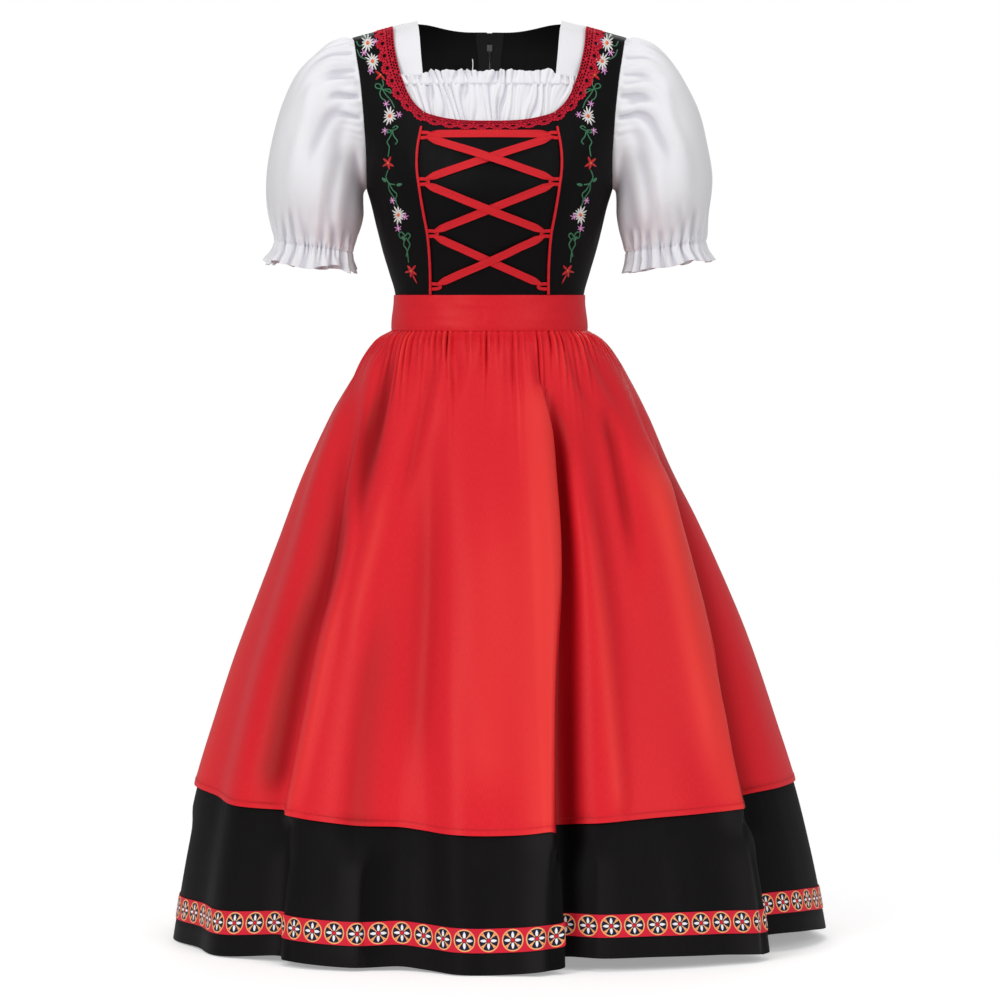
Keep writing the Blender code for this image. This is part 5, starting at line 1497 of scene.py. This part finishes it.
# Ridges and valleys that the apron shares with the skirt beneath it, as they show from
# the front on the upright plane.
APRON_CREASES = (
    (4.7, 13, 18, 0.2, 0.0, (-165, -379), (-175, -415), (-215, -515), (-259, -599),
     (-299, -725), (-335, -857), (-352, -925)),
    (-8.8, 24, 22, 0.2, 0.1, (-111, -371), (-132, -431), (-150, -485), (-187, -635),
     (-223, -725), (-250, -845), (-267, -935)),
    (5.8, 13, 8, 0.1, 0.0, (-129, -352), (-142, -427), (-158, -478), (-165, -545),
     (-167, -617), (-191, -725), (-215, -845), (-236, -940)),
    (4.0, 16, 16, 0.3, 0.4, (-113, -503), (-131, -581), (-153, -665), (-173, -773)),
    (-4.4, 22, 20, 0.4, 0.3, (-64, -440), (-71, -533), (-74, -629), (-77, -713), (-82, -797), (-90, -950)),
    (-5.2, 20, 30, 0.5, 0.0, (-112, -600), (-137, -725), (-153, -845), (-165, -960)),
    (4.7, 40, 40, 0.4, 0.2, (13, -485), (9, -629), (3, -797), (1, -958)),
    (7.6, 30, 3.5, 0.1, 0.0, (55, -403), (61, -449), (67, -497), (72, -605), (73, -785), (73, -966)),
    (-13.7, 3.5, 26, 0.2, 0.0, (61, -403), (69, -449), (76, -497), (81, -605), (82, -785), (82, -966)),
    (5.0, 15, 12, 0.3, 0.1, (85, -425), (103, -533), (123, -641), (146, -845), (156, -960)),
    (-6.7, 9, 11, 0.2, 0.5, (133, -437), (147, -485), (157, -533), (171, -617), (181, -677)),
    (5.8, 15, 13, 0.3, 0.3, (145, -449), (177, -515), (205, -575), (235, -725), (265, -875), (274, -945)),
    (7.2, 22, 4, 0.2, 0.0, (181, -461), (195, -503), (217, -587), (247, -689), (277, -833), (300, -940)),
    (-8.8, 4, 20, 0.2, 0.0, (188, -461), (202, -503), (224, -587), (255, -689), (285, -833), (309, -940)),
    (2.9, 10, 10, 0.3, 0.4, (181, -437), (229, -521), (271, -629), (313, -773), (349, -893)),
    (-3.4, 8, 10, 0.05, 0.4, (-57, -358), (-65, -394), (-78, -445), (-93, -507), (-118, -609)),
    (-4.4, 12, 14, 0.05, 0.5, (-113, -363), (-126, -409), (-141, -466), (-154, -522), (-162, -578)),
    (-2.6, 6, 8, 0.05, 0.5, (-31, -360), (-39, -404), (-50, -460)),
    (-2.0, 5, 6, 0.05, 0.5, (-5, -360), (-10, -419)),
    (-2.4, 6, 6, 0.05, 0.5, (23, -363), (30, -409), (33, -445)),
    (-3.2, 6, 9, 0.05, 0.1, (55, -358), (57, -390), (60, -425)),
    (-2.6, 6, 8, 0.05, 0.5, (87, -360), (105, -414), (132, -468)),
    (-2.8, 7, 8, 0.05, 0.5, (107, -360), (134, -409), (154, -445), (176, -486)),
    (-2.6, 7, 8, 0.05, 0.5, (-136, -368), (-154, -409), (-179, -458)),
    (-2.0, 5, 6, 0.05, 0.5, (-82, -359), (-92, -384), (-103, -414)),
    (-1.8, 5, 5, 0.05, 0.5, (35, -359), (51, -389)),
    (-2.6, 7, 9, 0.05, 0.5, (153, -373), (184, -430), (207, -486)),
    (2.4, 8, 8, 0.05, 0.5, (-47, -358), (-53, -399), (-65, -450), (-80, -507)),
    (2.2, 7, 8, 0.05, 0.5, (-95, -360), (-108, -409), (-122, -466), (-136, -522)),
    (2.2, 7, 7, 0.05, 0.5, (7, -359), (11, -409), (13, -455), (10, -507)),
    (2.4, 7, 7, 0.05, 0.5, (46, -359), (48, -409), (51, -455)),
    (2.2, 7, 8, 0.05, 0.5, (76, -359), (92, -414), (115, -471)),
    (2.0, 7, 8, 0.05, 0.5, (-18, -359), (-24, -409), (-31, -455)),
)
# Creases that sharpen the big folds, as they show from the front on the upright plane.
SKIRT_FRONT_CREASES = (
    (4.0, 34, 4, 0.3, 0.0, (-110, -800), (-140, -940), (-157, -1010), (-160, -1100)),
    (-5.0, 5, 34, 0.3, 0.0, (-100, -800), (-130, -940), (-148, -1010), (-150, -1100)),
    (4.0, 26, 5, 0.3, 0.0, (60, -760), (70, -900), (66, -1000), (60, -1140)),
    (-6.0, 5, 22, 0.3, 0.0, (72, -760), (82, -900), (80, -1000), (74, -1140)),
    (3.0, 5, 26, 0.3, 0.0, (118, -800), (130, -930), (134, -1010), (130, -1120)),
    (3.5, 26, 4, 0.3, 0.0, (-230, -850), (-244, -960), (-249, -1040), (-252, -1100)),
    (-3.5, 4, 20, 0.3, 0.0, (-224, -850), (-237, -960), (-242, -1040), (-246, -1100)),
    (4.0, 26, 4, 0.3, 0.0, (280, -860), (300, -950), (314, -1030), (321, -1100)),
    (-4.0, 4, 22, 0.3, 0.0, (289, -860), (309, -950), (324, -1030), (331, -1100)),
    (-1.6, 14, 18, 0.3, 0.2, (-190, -900), (-200, -970), (-206, -1060)),
    (1.4, 14, 18, 0.3, 0.2, (-90, -920), (-96, -1000), (-92, -1100)),
    (-1.4, 16, 14, 0.3, 0.2, (0, -900), (4, -1000), (-4, -1110)),
    (1.6, 16, 14, 0.3, 0.2, (200, -900), (216, -990), (222, -1090)),
    (-1.6, 14, 14, 0.3, 0.2, (244, -900), (262, -990), (272, -1080)),
)
# Similar ones on the back, seen from behind with the wearer's left to the left.
SKIRT_BACK_CREASES = (
    (4.0, 26, 6, 0.2, 0.0, (-40, -520), (-58, -700), (-84, -900), (-98, -1080)),
    (-4.5, 6, 28, 0.2, 0.0, (-30, -520), (-46, -700), (-70, -900), (-84, -1080)),
    (3.5, 6, 24, 0.2, 0.0, (52, -500), (74, -700), (98, -900), (110, -1080)),
    (-4.0, 26, 6, 0.2, 0.0, (42, -500), (62, -700), (84, -900), (96, -1080)),
    (-3.0, 12, 18, 0.2, 0.0, (-86, -460), (-120, -620), (-160, -850), (-180, -1080)),
    (3.0, 16, 9, 0.2, 0.0, (-116, -470), (-158, -640), (-204, -860), (-226, -1080)),
    (-3.0, 18, 12, 0.2, 0.0, (88, -470), (128, -640), (170, -860), (188, -1080)),
    (3.0, 9, 16, 0.2, 0.0, (116, -460), (160, -620), (208, -850), (230, -1080)),
    (-3.0, 9, 18, 0.2, 0.1, (-160, -520), (-220, -700), (-270, -900), (-292, -1080)),
    (-3.0, 18, 9, 0.2, 0.1, (162, -540), (222, -720), (274, -910), (298, -1080)),
    (2.5, 12, 12, 0.2, 0.1, (4, -460), (10, -620), (2, -860), (8, -1080)),
    (-1.8, 8, 10, 0.1, 0.6, (-20, -370), (-26, -430), (-30, -500)),
    (-1.8, 10, 8, 0.1, 0.6, (26, -370), (34, -440), (40, -520)),
    (-1.6, 7, 8, 0.1, 0.6, (-60, -370), (-78, -430), (-90, -490)),
    (-1.6, 8, 7, 0.1, 0.6, (64, -370), (80, -440), (96, -500)),
)


def gathers(cloth_at, up, depth, seed, length=1.0):
    """Gathers that start at the waist, one to two columns. Each has its own depth and
    its own length, and a few run on down the cloth."""
    number = np.asarray(cloth_at) / COLUMN
    wander = 1.1 * uneven(number / 4, 4 * (1 - up), seed)
    strong = 1 + 0.8 * uneven(number / 1.9, 0 * up, seed + 1)
    reach = length * (0.085 + 0.075 * uneven(number / 2.2, 0 * up, seed + 2))
    down = 1 - up
    size = depth * strong * (1 - ease(down, 0.03, 0.05 + 1.5 * np.maximum(reach, 0.03)))
    fine = 0.35 * depth * bell(down - 0.03, 0.035)
    wave = np.cos(math.pi * number + wander) * size
    return wave + fine * np.cos(2.37 * math.pi * number + 2 * wander)


def in_front(points):
    """1 for points on the front of the skirt, and none for those behind."""
    return ease(-points[..., 1], -60, 20)


def shared_creases(points):
    """The relief of the folds that apron and skirt share, which are on the front."""
    return creased(seen(points), *APRON_CREASES) * in_front(points)


def skirt_relief(points, cloth_at, up):
    """The listed creases and a soft unevenness, which the hem has less of. Below
    the apron the folds they share go on, and flatten towards the hem."""
    front = in_front(points)
    relief = front * creased(seen(points), *SKIRT_FRONT_CREASES) * (1 - ease(up, 0.14, 0.195))
    relief = relief + shared_creases(points) * ease(up, 0.0, 0.2) * ease(1 - up, 0.03, 0.09)
    relief += (1 - front) * creased(points[..., (0, 2)] * (-1, 1), *SKIRT_BACK_CREASES)
    size = mix(0.9, 0.5, ease(up, 0.0, 0.06)) * (1 - ease(up, 0.9, 1.0))
    return relief + size * uneven(cloth_at / 7, up * 5, 11)


skirt_black = Finish(
    "black_skirt_cloth",
    rgb(13, 11, 12),
    0.58,
    specular_ior_level=0.08,
    sheen_weight=0.01,
    sheen_roughness=0.45,
)
skirt_black.weave(0.0007, 0.06, 0.4)
skirt_black.relief(skirt_black.noise(34, 11, detail=3), 0.9, 0.35)
look = skirt_black.mixed(skirt_black.noise(380, 50), rgb(12, 10, 11), rgb(18, 16, 17))
# Painted shade: near black in the fold depths; painted highlight: greyer on the crests.
skirt_black.paint_fold_shade_and_highlight(look, rgb(6, 5, 6), rgb(31, 29, 30))
skirt_black.rough(0.54 + 0.12 * skirt_black.noise(90, 24))

SIDE_SEAM = 52 * COLUMN
HALF_GAP_DEGREES = 0.008
SKIRT_INNER, SKIRT_CLOTH = 0.3, 1.0
HEM_ALLOWANCE = 22.0
up = 1 - (1 - np.linspace(0, 1, 116)) ** 1.3
hem_edge = (HEM_ALLOWANCE + np.array([-1, 1])) / SKIRT_HEIGHT
up = np.sort(np.append(up, [0.004, *hem_edge]))[:, None]
for name, first, last, count, node, flat, area in (
    ("skirt_front_panel", -SIDE_SEAM, SIDE_SEAM, 225, "skirt_front", (1.24, 0.76), 0.54),
    ("skirt_left_back", SIDE_SEAM, 180, 121, "skirt_back_left", (0.8, 0.76), 0.39),
    ("skirt_right_back", -180, -SIDE_SEAM, 121, "skirt_back_right", (0.8, 0.76), 0.39),
):
    cloth_at = np.linspace(first + HALF_GAP_DEGREES, last - HALF_GAP_DEGREES, count)[None]
    points = skirt(cloth_at, up)
    relief = skirt_relief(points, cloth_at, up)
    if name != "skirt_front_panel":
        beside_zip = 1 - ease(np.abs(cloth_at), 169, 173)
        relief = relief + gathers(cloth_at, up, 1.7, 21) * beside_zip
    hem_turn = 0.35 * (1 - ease(up, *hem_edge))
    points = raised(points, SKIRT_INNER + SKIRT_CLOTH / 2 + relief + hem_turn)
    # The relief also sets the painted shade and painted highlight of the folds.
    made = cloth(name, points, skirt_black, SKIRT_CLOTH, fold=relief / 6)
    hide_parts(node)


# The woven ribbon round the skirt: medallions on a red ground, each an orange ring
# round navy petals and a white four-petalled flower with a red middle. It is sewn on
# flat along both edges.

TRIM_FOOT, TRIM_WIDTH, TRIM_CLOTH, TRIM_CLEAR = 25.0, 27.0, 0.7, 0.8
# The medallion's parts by their distances from its middle.
MEDALLION_PITCH, MEDALLION, NAVY, NAVY_HEART, RED_HEART = 27.5, 12.4, 10.8, 2.7, 2.0
PETAL_MIDDLE, PETAL_HALF_LENGTH, PETAL_HALF_WIDTH = 5.5, 4.5, 1.75
DOT_ASIDE, DOT = 7.3, 0.55

cloth_at = np.linspace(-180, 180, 720, endpoint=False)[None]
up = (TRIM_FOOT + TRIM_WIDTH * np.linspace(0, 1, 7))[:, None] / SKIRT_HEIGHT
points = skirt(cloth_at, up)
relief = skirt_relief(points, cloth_at, up)
edge = 0.25 * bell(np.minimum(up - up[0], up[-1] - up) * SKIRT_HEIGHT, 1.5)
clear = SKIRT_INNER + SKIRT_CLOTH + TRIM_CLEAR + TRIM_CLOTH / 2
points = raised(points, clear + relief - edge, True)
round_it = np.linalg.norm(np.diff(points[3], axis=0), axis=-1).sum()
pitch = round_it / round(round_it / MEDALLION_PITCH) * MM

woven = Finish("woven_ribbon", rgb(214, 30, 52), 0.6, sheen_weight=0.04, specular_ior_level=0.2)
x = woven.along.cell(pitch) * (pitch / MM)
y = woven.across / MM - TRIM_WIDTH / 2
far = (x * x + y * y) ** 0.5

# Folded into one eighth: reach is the larger of the two distances from the middle and
# aside the smaller, so that one petal and one spoke make all of them.
reach = x.size().maths("MAXIMUM", x.size(), y.size())
aside = x.size().maths("MINIMUM", x.size(), y.size())
red, deep = rgb(222, 28, 54), rgb(196, 22, 46)
orange, navy, white = rgb(240, 172, 112), rgb(13, 15, 46), rgb(236, 236, 240)
ground = woven.mixed(woven.noise(260, 1400), red, deep)
look = woven.mixed(far.above(MEDALLION - 0.2, MEDALLION + 0.2), orange, ground)
ring_dot = ((reach - DOT_ASIDE) ** 2 + (aside - DOT_ASIDE) ** 2) ** 0.5
look = woven.mixed(ring_dot.above(DOT, DOT + 0.3), red, look)
spoke = 0.4 + 1.15 * (far - 5.0).above(0.0, 6.0)
inside = ((reach - aside) * 0.707 - spoke).above(0.0, 0.25)
look = woven.mixed(inside * (1 - far.above(NAVY, NAVY + 0.3)), look, navy)
bulge = 1 - ((reach - PETAL_MIDDLE) / PETAL_HALF_LENGTH) ** 2
petal = PETAL_HALF_WIDTH * bulge - aside
look = woven.mixed(petal.above(0.0, 0.3), look, white)
for radius, shade in ((NAVY_HEART, navy), (RED_HEART, rgb(214, 24, 44))):
    look = woven.mixed(1 - far.above(radius, radius + 0.3), look, shade)
woven.colour(look)
woven.relief(woven.across.wave(0.0009) * woven.along.wave(0.0005), 0.08, 0.5)
raised_threads = 0.5 + 0.5 * woven.noise(900, 900)
woven.relief((1 - far.above(MEDALLION - 0.4, MEDALLION)) * raised_threads, 0.2, 0.6)
woven.rough(0.5 + 0.2 * woven.noise(500, 900))

made = cloth("hem_ribbon", points, woven, TRIM_CLOTH, closed=True)
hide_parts("hem_trim")


# The apron: red satin on the straight grain, gathered to its waistband, with a narrow
# turned and topstitched hem. It hangs clear of the skirt in the skirt's folds.

APRON_EDGE, APRON_CLEAR, APRON_GATHER = 62 * COLUMN, 3.6, 1.6
APRON_HEM_ROW, APRON_SIDE_RISE, RISE_TO = 0.207, 0.0203, 0.36
APRON_UNDER_BAND, HEM_STITCH, SATIN_CLOTH = 1.4, 6.6, 0.9
APRON_TOP = 1 - (SKIRT_TOP - BAND_BOTTOM + APRON_UNDER_BAND) / SKIRT_HEIGHT

satin = Finish(
    "red_satin",
    rgb(236, 34, 44),
    0.46,
    specular_ior_level=0.26,
    specular_tint=rgb(255, 176, 158),
    sheen_weight=0.05,
    sheen_roughness=0.35,
    sheen_tint=rgb(255, 120, 110),
)
satin.weave(0.00045, 0.03, 0.35)
satin.relief(satin.noise(60, 14, detail=4), 0.7, 0.28)
satin.relief(satin.noise(900, 700), 0.05, 0.5)
look = satin.mixed(satin.noise(700, 160), rgb(216, 28, 42), rgb(232, 42, 53))
# Painted shade: deep red in the fold depths; painted highlight: orange red on the crests.
satin.paint_fold_shade_and_highlight(look, rgb(160, 10, 22), rgb(242, 64, 60))
satin.rough(0.38 + 0.1 * satin.noise(400, 90))


def apron_cloth(cloth_at, up):
    """The apron's middle surface, clear of the skirt and with its hem rising to the
    sides, and the painted shade and highlight for its folds."""
    rise = APRON_SIDE_RISE * (np.asarray(cloth_at) / 85) ** 2
    risen = up + rise * (1 - ease(up, APRON_HEM_ROW, RISE_TO))
    points = skirt(cloth_at, risen)
    near_band = ease(up, 0.955, APRON_TOP)
    inside = APRON_CLEAR + 0.5 - 0.9 * near_band
    big = shared_creases(points) * ease(1 - up, 0.03, 0.09)
    gathered = gathers(cloth_at, risen, APRON_GATHER, 5, 0.75)
    relief = big + gathered * (1 - 0.75 * near_band)
    relief = relief + 0.8 * uneven(cloth_at / 6, risen * 6, 8) * ease(1 - up, 0.02, 0.2)
    from_stitch = (up - APRON_HEM_ROW) * SKIRT_HEIGHT - HEM_STITCH
    turned = 0.5 * (1 - ease(from_stitch, -0.4, 0.8))
    pucker = 0.28 * np.cos(math.pi * cloth_at / 0.55) * bell(from_stitch, 4)
    # Painted shade in the fold depths, along the gathers and in a line by the hem stitching; painted
    # highlight on the crests.
    painted_fold_shade = big / 10.5 + gathered * 0.26 - 0.35 * bell(from_stitch, 1.4)
    return raised(points, inside + relief + turned + pucker), painted_fold_shade


up = mix(APRON_HEM_ROW, APRON_TOP, 1 - (1 - np.linspace(0, 1, 104)) ** 1.45)
up = np.sort(np.append(up, APRON_HEM_ROW + np.array([3, 6, 6.8, 7.6]) / SKIRT_HEIGHT))[:, None]
cloth_at = np.linspace(-APRON_EDGE, APRON_EDGE, 373)[None]
points, painted_fold_shade = apron_cloth(cloth_at, up)
made = cloth("apron_skirt", points, satin, SATIN_CLOTH, fold=painted_fold_shade)
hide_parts("apron")


STITCH = table(
    "share width lift",
    (0, 0.25, -0.2),
    (0.2, 0.9, 0.1),
    (0.5, 1.0, 0.2),
    (0.8, 0.9, 0.1),
    (1, 0.25, -0.2),
)


def read_along(values, run, at):
    """Points or directions, given at the distances run along a line, read at others."""
    return np.stack([np.interp(at, run, axis) for axis in values.T], -1)


def stitches(name, line, outward, finish, pitch=2.9, length=2.1, radius=0.24):
    """A row of stitches along a line of points: short rounded threads, each a six-sided
    spindle that dips into the cloth at both ends."""
    sides, rings = 6, len(STITCH["share"])
    run = distances(line)
    starts = np.arange(pitch / 2, run[-1] - length, pitch)
    turn = np.linspace(0, 2 * math.pi, sides, endpoint=False)[None, :, None]
    points = []
    for share, width, lift in zip(*STITCH.values()):
        at = starts + share * length
        middle = read_along(line, run, at)
        ahead = unit(read_along(line, run, at + 0.4) - middle)
        out = read_along(outward, run, at)
        out = unit(out - ahead * (out * ahead).sum(-1, keepdims=True))
        aside = np.cross(out, ahead)
        ring = np.cos(turn) * out[:, None] + np.sin(turn) * aside[:, None]
        points.append(middle[:, None] + out[:, None] * lift + radius * width * ring)
    points = np.stack(points, axis=1).reshape(-1, 3)
    faces = []
    for k in range(0, (rings - 1) * sides, sides):
        for j in range(sides):
            n = (j + 1) % sides
            faces.append((k + j, k + n, k + sides + n, k + sides + j))
    top = (rings - 1) * sides
    faces += [(5, 4, 1, 0), (4, 3, 2, 1)]
    faces += [(top, top + 1, top + 4, top + 5), (top + 1, top + 2, top + 3, top + 4)]
    first = np.arange(len(starts))[:, None, None] * rings * sides
    return mesh_object(name, points, (np.array(faces) + first).reshape(-1, 4), [finish])


def row_at(points, up, wanted):
    """One row of a grid of points, between its rows where needed."""
    k = min(max(int(np.searchsorted(up.ravel(), wanted)), 1), len(up) - 1)
    low, high = up.ravel()[k - 1], up.ravel()[k]
    return mix(points[k - 1], points[k], (wanted - low) / (high - low))


red_thread = Finish("red_thread", rgb(190, 16, 28), 0.5)
red_thread.relief(red_thread.noise(900, 900, at=red_thread.place), 0.1, 0.4)
line_up = APRON_HEM_ROW + HEM_STITCH / SKIRT_HEIGHT
outward = row_at(normals(points), up, line_up)
line = row_at(points, up, line_up) + outward * 0.55
made = stitches("apron_hem_stitches", line, outward, red_thread)


# The waistband: a straight band of the same satin, pressed flat, that flares a little
# over the gathers and carries the ties.

BAND_TOP, BAND_FLARE, BAND_CLOTH = -311.0, 3.0, 1.2

turn = np.linspace(-math.pi, math.pi, 320, endpoint=False)[None]
up = np.linspace(0, 1, 17)[:, None]
out = BODICE_CLOTH + LAYER_GAP + BAND_FLARE * (1 - ease(up, 0, 0.9)) + BAND_CLOTH / 2
width, front, back = (TORSO[name][0] for name in ("half_width", "front", "back"))
depth = np.where(np.cos(turn) > 0, front, back) + out
z = mix(BAND_BOTTOM, BAND_TOP, up)
points = stacked((width + out) * np.sin(turn), -depth * np.cos(turn), z)
BAND_CREASES = (
    (-0.7, 3, 4, 0.4, 0.5, (-110, -322), (-70, -330), (-30, -331)),
    (0.6, 4, 3, 0.4, 0.4, (-60, -318), (-10, -323), (40, -320)),
    (-0.6, 3, 3, 0.4, 0.5, (116, -324), (84, -333), (40, -336)),
    (0.5, 4, 4, 0.4, 0.4, (20, -342), (60, -338), (100, -341)),
    (-0.6, 3, 4, 0.4, 0.5, (-96, -344), (-60, -341), (-20, -345)),
    (-0.6, 5, 2, 0.3, 0.3, (-14, -318), (-6, -332), (-9, -347)),
)
relief = creased(seen(points), *BAND_CREASES) * (np.cos(turn) > -0.2)
relief = relief + 0.45 * uneven(turn * 5, up * 2.2, 31) * np.sin(math.pi * up) ** 0.5
edge = 0.4 * np.exp(-np.minimum(up, 1 - up) * (BAND_TOP - BAND_BOTTOM))
points = raised(points, relief - edge, True)
made = cloth("waistband", points, satin, BAND_CLOTH, closed=True)
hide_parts("apron_band")


# The apron's ties, which meet behind in a bow: two loops and two tails round one knot.

BOW_MIDDLE = (0.0, 101.6, -332.0)
KNOT_DEPTH, KNOT_HEIGHT, KNOT_LENGTH = 7.5, 13.0, 24.0
BOW_LOOP_ROOT, BOW_LOOP, BOW_LOOP_BELLY, BOW_LOOP_DROOP = -7.0, 96.0, 6.0, 14.0
BOW_NARROW, BOW_WIDE, BOW_LOOP_THICK = 7.0, 18.0, 2.8
TAIL_TOP, TAIL_END, TAIL_SPREAD = -347.8, -598.0, 46.0
TAIL_WIDTH = (16.0, 34.0)


def bow_loop(across, run, side):
    """One loop: run goes out along its inner layer and back along its outer one. Creases
    fan out from the knot and die away towards the loop's end."""
    turn = math.pi * mix(0.03, 0.97, run)
    out = np.sin(turn) ** 0.8
    fan = 1.5 * (1 - ease(out, 0.15, 0.85)) * np.cos(5.5 * across + side)
    fan = fan + 0.5 * np.cos(3 * across) * (1 - out)
    x = BOW_LOOP_ROOT + (BOW_LOOP + 1.5 * np.sin(4 * across + side)) * out
    belly = BOW_LOOP_THICK + BOW_LOOP_BELLY * out + fan * ease(out, 0.05, 0.3)
    y = BOW_MIDDLE[1] - belly * np.cos(turn)
    droop = BOW_LOOP_DROOP * out**2 - 1.2 * out * np.sin(5 * out + side)
    z = BOW_MIDDLE[2] + across * mix(BOW_NARROW, BOW_WIDE, out) - droop
    return stacked(side * x, y, z)


def behind(x, z):
    """The skirt's back at a distance from its middle: its cloth's angle and its up."""
    up = (z - HEM) / SKIRT_HEIGHT
    size, top, bottom, share = flare(z)
    spread = top * (1 - share) + (1 + FRONT_FALL) * bottom * share
    angle = np.arcsin((x - SKIRT_SWAY * (1 - up)) / size) * size / spread
    return 180 - np.degrees(angle), up


def tail(across, run, side):
    """A tie's end, which hangs from the knot and then lies on the skirt in soft folds:
    the skirt's cloth and height behind it, and its distance from them."""
    length = TAIL_END - (6 if side > 0 else 0) - TAIL_TOP
    z = TAIL_TOP + length * run - 7 * across * ease(run, 0.9, 1)
    x = side * (9.5 + TAIL_SPREAD * run) + across * mix(*TAIL_WIDTH, ease(run, 0, 0.3)) / 2
    cloth_at, up = behind(x, z)
    off = 4.6 + 9.0 * (1 - ease(run, 0.0, 0.12)) + 1.2 * np.sin(9 * run + 2 * across)
    folds = np.cos(4.2 * across + 1.2 * uneven(run * 3, 0 * across, 83 + side) + side)
    off = off + 1.5 * folds * (1 - 0.55 * ease(run, 0.1, 0.7)) + 0.5 * uneven(across, run * 9, 85)
    return cloth_at, up, off


def off_the_skirt(cloth_at, up, off):
    """Places at a distance out from the skirt's form, square to it."""
    turn_step, up_step = 0.4, 0.0015
    along = skirt(cloth_at + turn_step, up) - skirt(cloth_at - turn_step, up)
    rise = skirt(cloth_at, np.minimum(up + up_step, 1)) - skirt(cloth_at, up - up_step)
    return skirt(cloth_at, up) + unit(np.cross(along, rise)) * off[..., None]


across = np.linspace(-1, 1, 23)
for side, name in SIDES:
    run = np.linspace(0, 1, 91)
    # Rows go up the loop and columns along it.
    points = bow_loop(across[:, None], run[None], side)
    points = points[:, ::-1] if side > 0 else points
    made = cloth(f"bow_loop_{name}_satin", points, satin, SATIN_CLOTH)
    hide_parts(f"bow_loop_{name}")
    run = np.linspace(1, 0, 110)[:, None]
    points = off_the_skirt(*tail(-across[None], run, side))
    made = cloth(f"bow_tail_{name}_satin", points, satin, SATIN_CLOTH)
    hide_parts(f"bow_tail_{name}")

turn = np.linspace(0, 2 * math.pi, 72, endpoint=False)[None]
run = np.linspace(1, 0, 27)[:, None]
waist = 1 + 0.06 * np.cos(4 * math.pi * (run - 0.5))
waist = waist + 0.035 * np.cos(30 * run + 2 * np.sin(turn * 2))
ring_y = BOW_MIDDLE[1] + KNOT_DEPTH * np.cos(turn) * waist
ring_z = BOW_MIDDLE[2] + KNOT_HEIGHT * np.sin(turn) * waist
points = stacked(KNOT_LENGTH * (run - 0.5), ring_y, ring_z)
made = cloth("bow_knot_satin", points, satin, SATIN_CLOTH, closed=True)
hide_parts("bow_knot")


# The zip down the centre back: black woven tapes inside the edges, teeth that meet
# between them, and the slider and its pull in black enamelled metal.

TAPE_START, TAPE_WIDTH, TAPE = 2.0, 12.0, 0.8
TAPE_UNDER, COIL_UNDER, COIL = 0.9, 2.1, 1.1
ZIP_FOOT, SLIDER_HEIGHT = 0.84, -10.0
TOOTH_PITCH = 1.5
TOOTH = ((-1.7, -0.35), (-0.8, 0.15), (0.8, 0.15), (1.7, -0.35))


def centre_back(u, v, parted):
    """The back beside the zip. u is millimetres to the wearer's right from the middle or
    from the parted edges. v runs from -1 to 0 up the skirt and on to 1, the nape."""
    u, v = np.broadcast_arrays(np.asarray(u, float), v)
    level = np.clip(v, 0, 1) * nape_level
    upper = torso(math.pi + (u + parted * zip_parting(level)) / half_width(level), level)
    up = mix(1.0, ZIP_FOOT, np.clip(-v, 0, 1))
    cloth_at, up = behind(SKIRT_SWAY * (1 - up) - u, mix(HEM, SKIRT_TOP, up))
    return np.where(v[..., None] > 0, upper, skirt(cloth_at, up))


tape_black = Finish("black_zip_tape", rgb(22, 21, 22), 0.7, specular_ior_level=0.2)
tape_black.relief(tape_black.across.wave(0.0012) * tape_black.along.wave(0.0008), 0.12, 0.7)
# Painted highlight and shade: lighter on the ribs across the tape and darker between them, in step with
# its bump.
tape_black.colour(tape_black.mixed(tape_black.across.wave(0.0012), rgb(19, 18, 19), rgb(29, 27, 29)))
top = float(level_at(0.0, SLIDER_HEIGHT - 1.8)[0]) / nape_level
v = np.concatenate([np.linspace(-1, -0.02, 26), np.linspace(0.002, 1.0, 90)])[:, None]
for side, name in ((1, "right"), (-1, "left")):
    # Above the slider the tapes stand apart less than the cloth does.
    start = TAPE_START - 5.2 * ease(v, top - 0.01, top + 0.02)
    u = start + (TAPE_START + TAPE_WIDTH - start) * np.linspace(0, 1, 9)[None]
    u = side * (u if side > 0 else u[:, ::-1])
    points = centre_back(u, v, side)
    edge = 0.15 * np.cos(v * 900) * (np.abs(u) > TAPE_START + TAPE_WIDTH - 1)
    points = raised(points, -TAPE_UNDER - TAPE / 2 + edge)
    made = cloth(f"zip_tape_cloth_{name}", points, tape_black, TAPE)
    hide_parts(f"zip_tape_{name}")

# The teeth: short coils of nylon that lie across the middle by turns from either side.
enamel = Finish("black_enamel", rgb(17, 17, 19), 0.3, specular_ior_level=0.6)
enamel.rough(0.26 + 0.2 * enamel.noise(900, 900, at=enamel.place))
fine = np.concatenate([np.linspace(-1, -0.02, 80), np.linspace(0.002, top, 240)])
middle = centre_back(np.array([[-0.6, 0.0, 0.6]]), fine[:, None], 0)
outward = normals(middle)
run = distances(middle[:, 1])
teeth = []
for k in range(int(run[-1] / TOOTH_PITCH)):
    at = (k + 0.5) * TOOTH_PITCH
    centre = read_along(middle[:, 1], run, at) + (k % 2 - 0.5, 0, 0)
    out = read_along(outward[:, 1], run, at)
    teeth.append([centre + (x, 0, 0) + out * (y - COIL_UNDER + COIL / 2) for x, y in TOOTH])
made = cords("zip_teeth", teeth, COIL / 2, enamel, 6)
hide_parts("zip_coil")

for node in ("zip_slider", "zip_pull"):
    metal_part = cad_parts[node]
    metal_part.data.materials.clear()
    metal_part.data.materials.append(enamel.material)
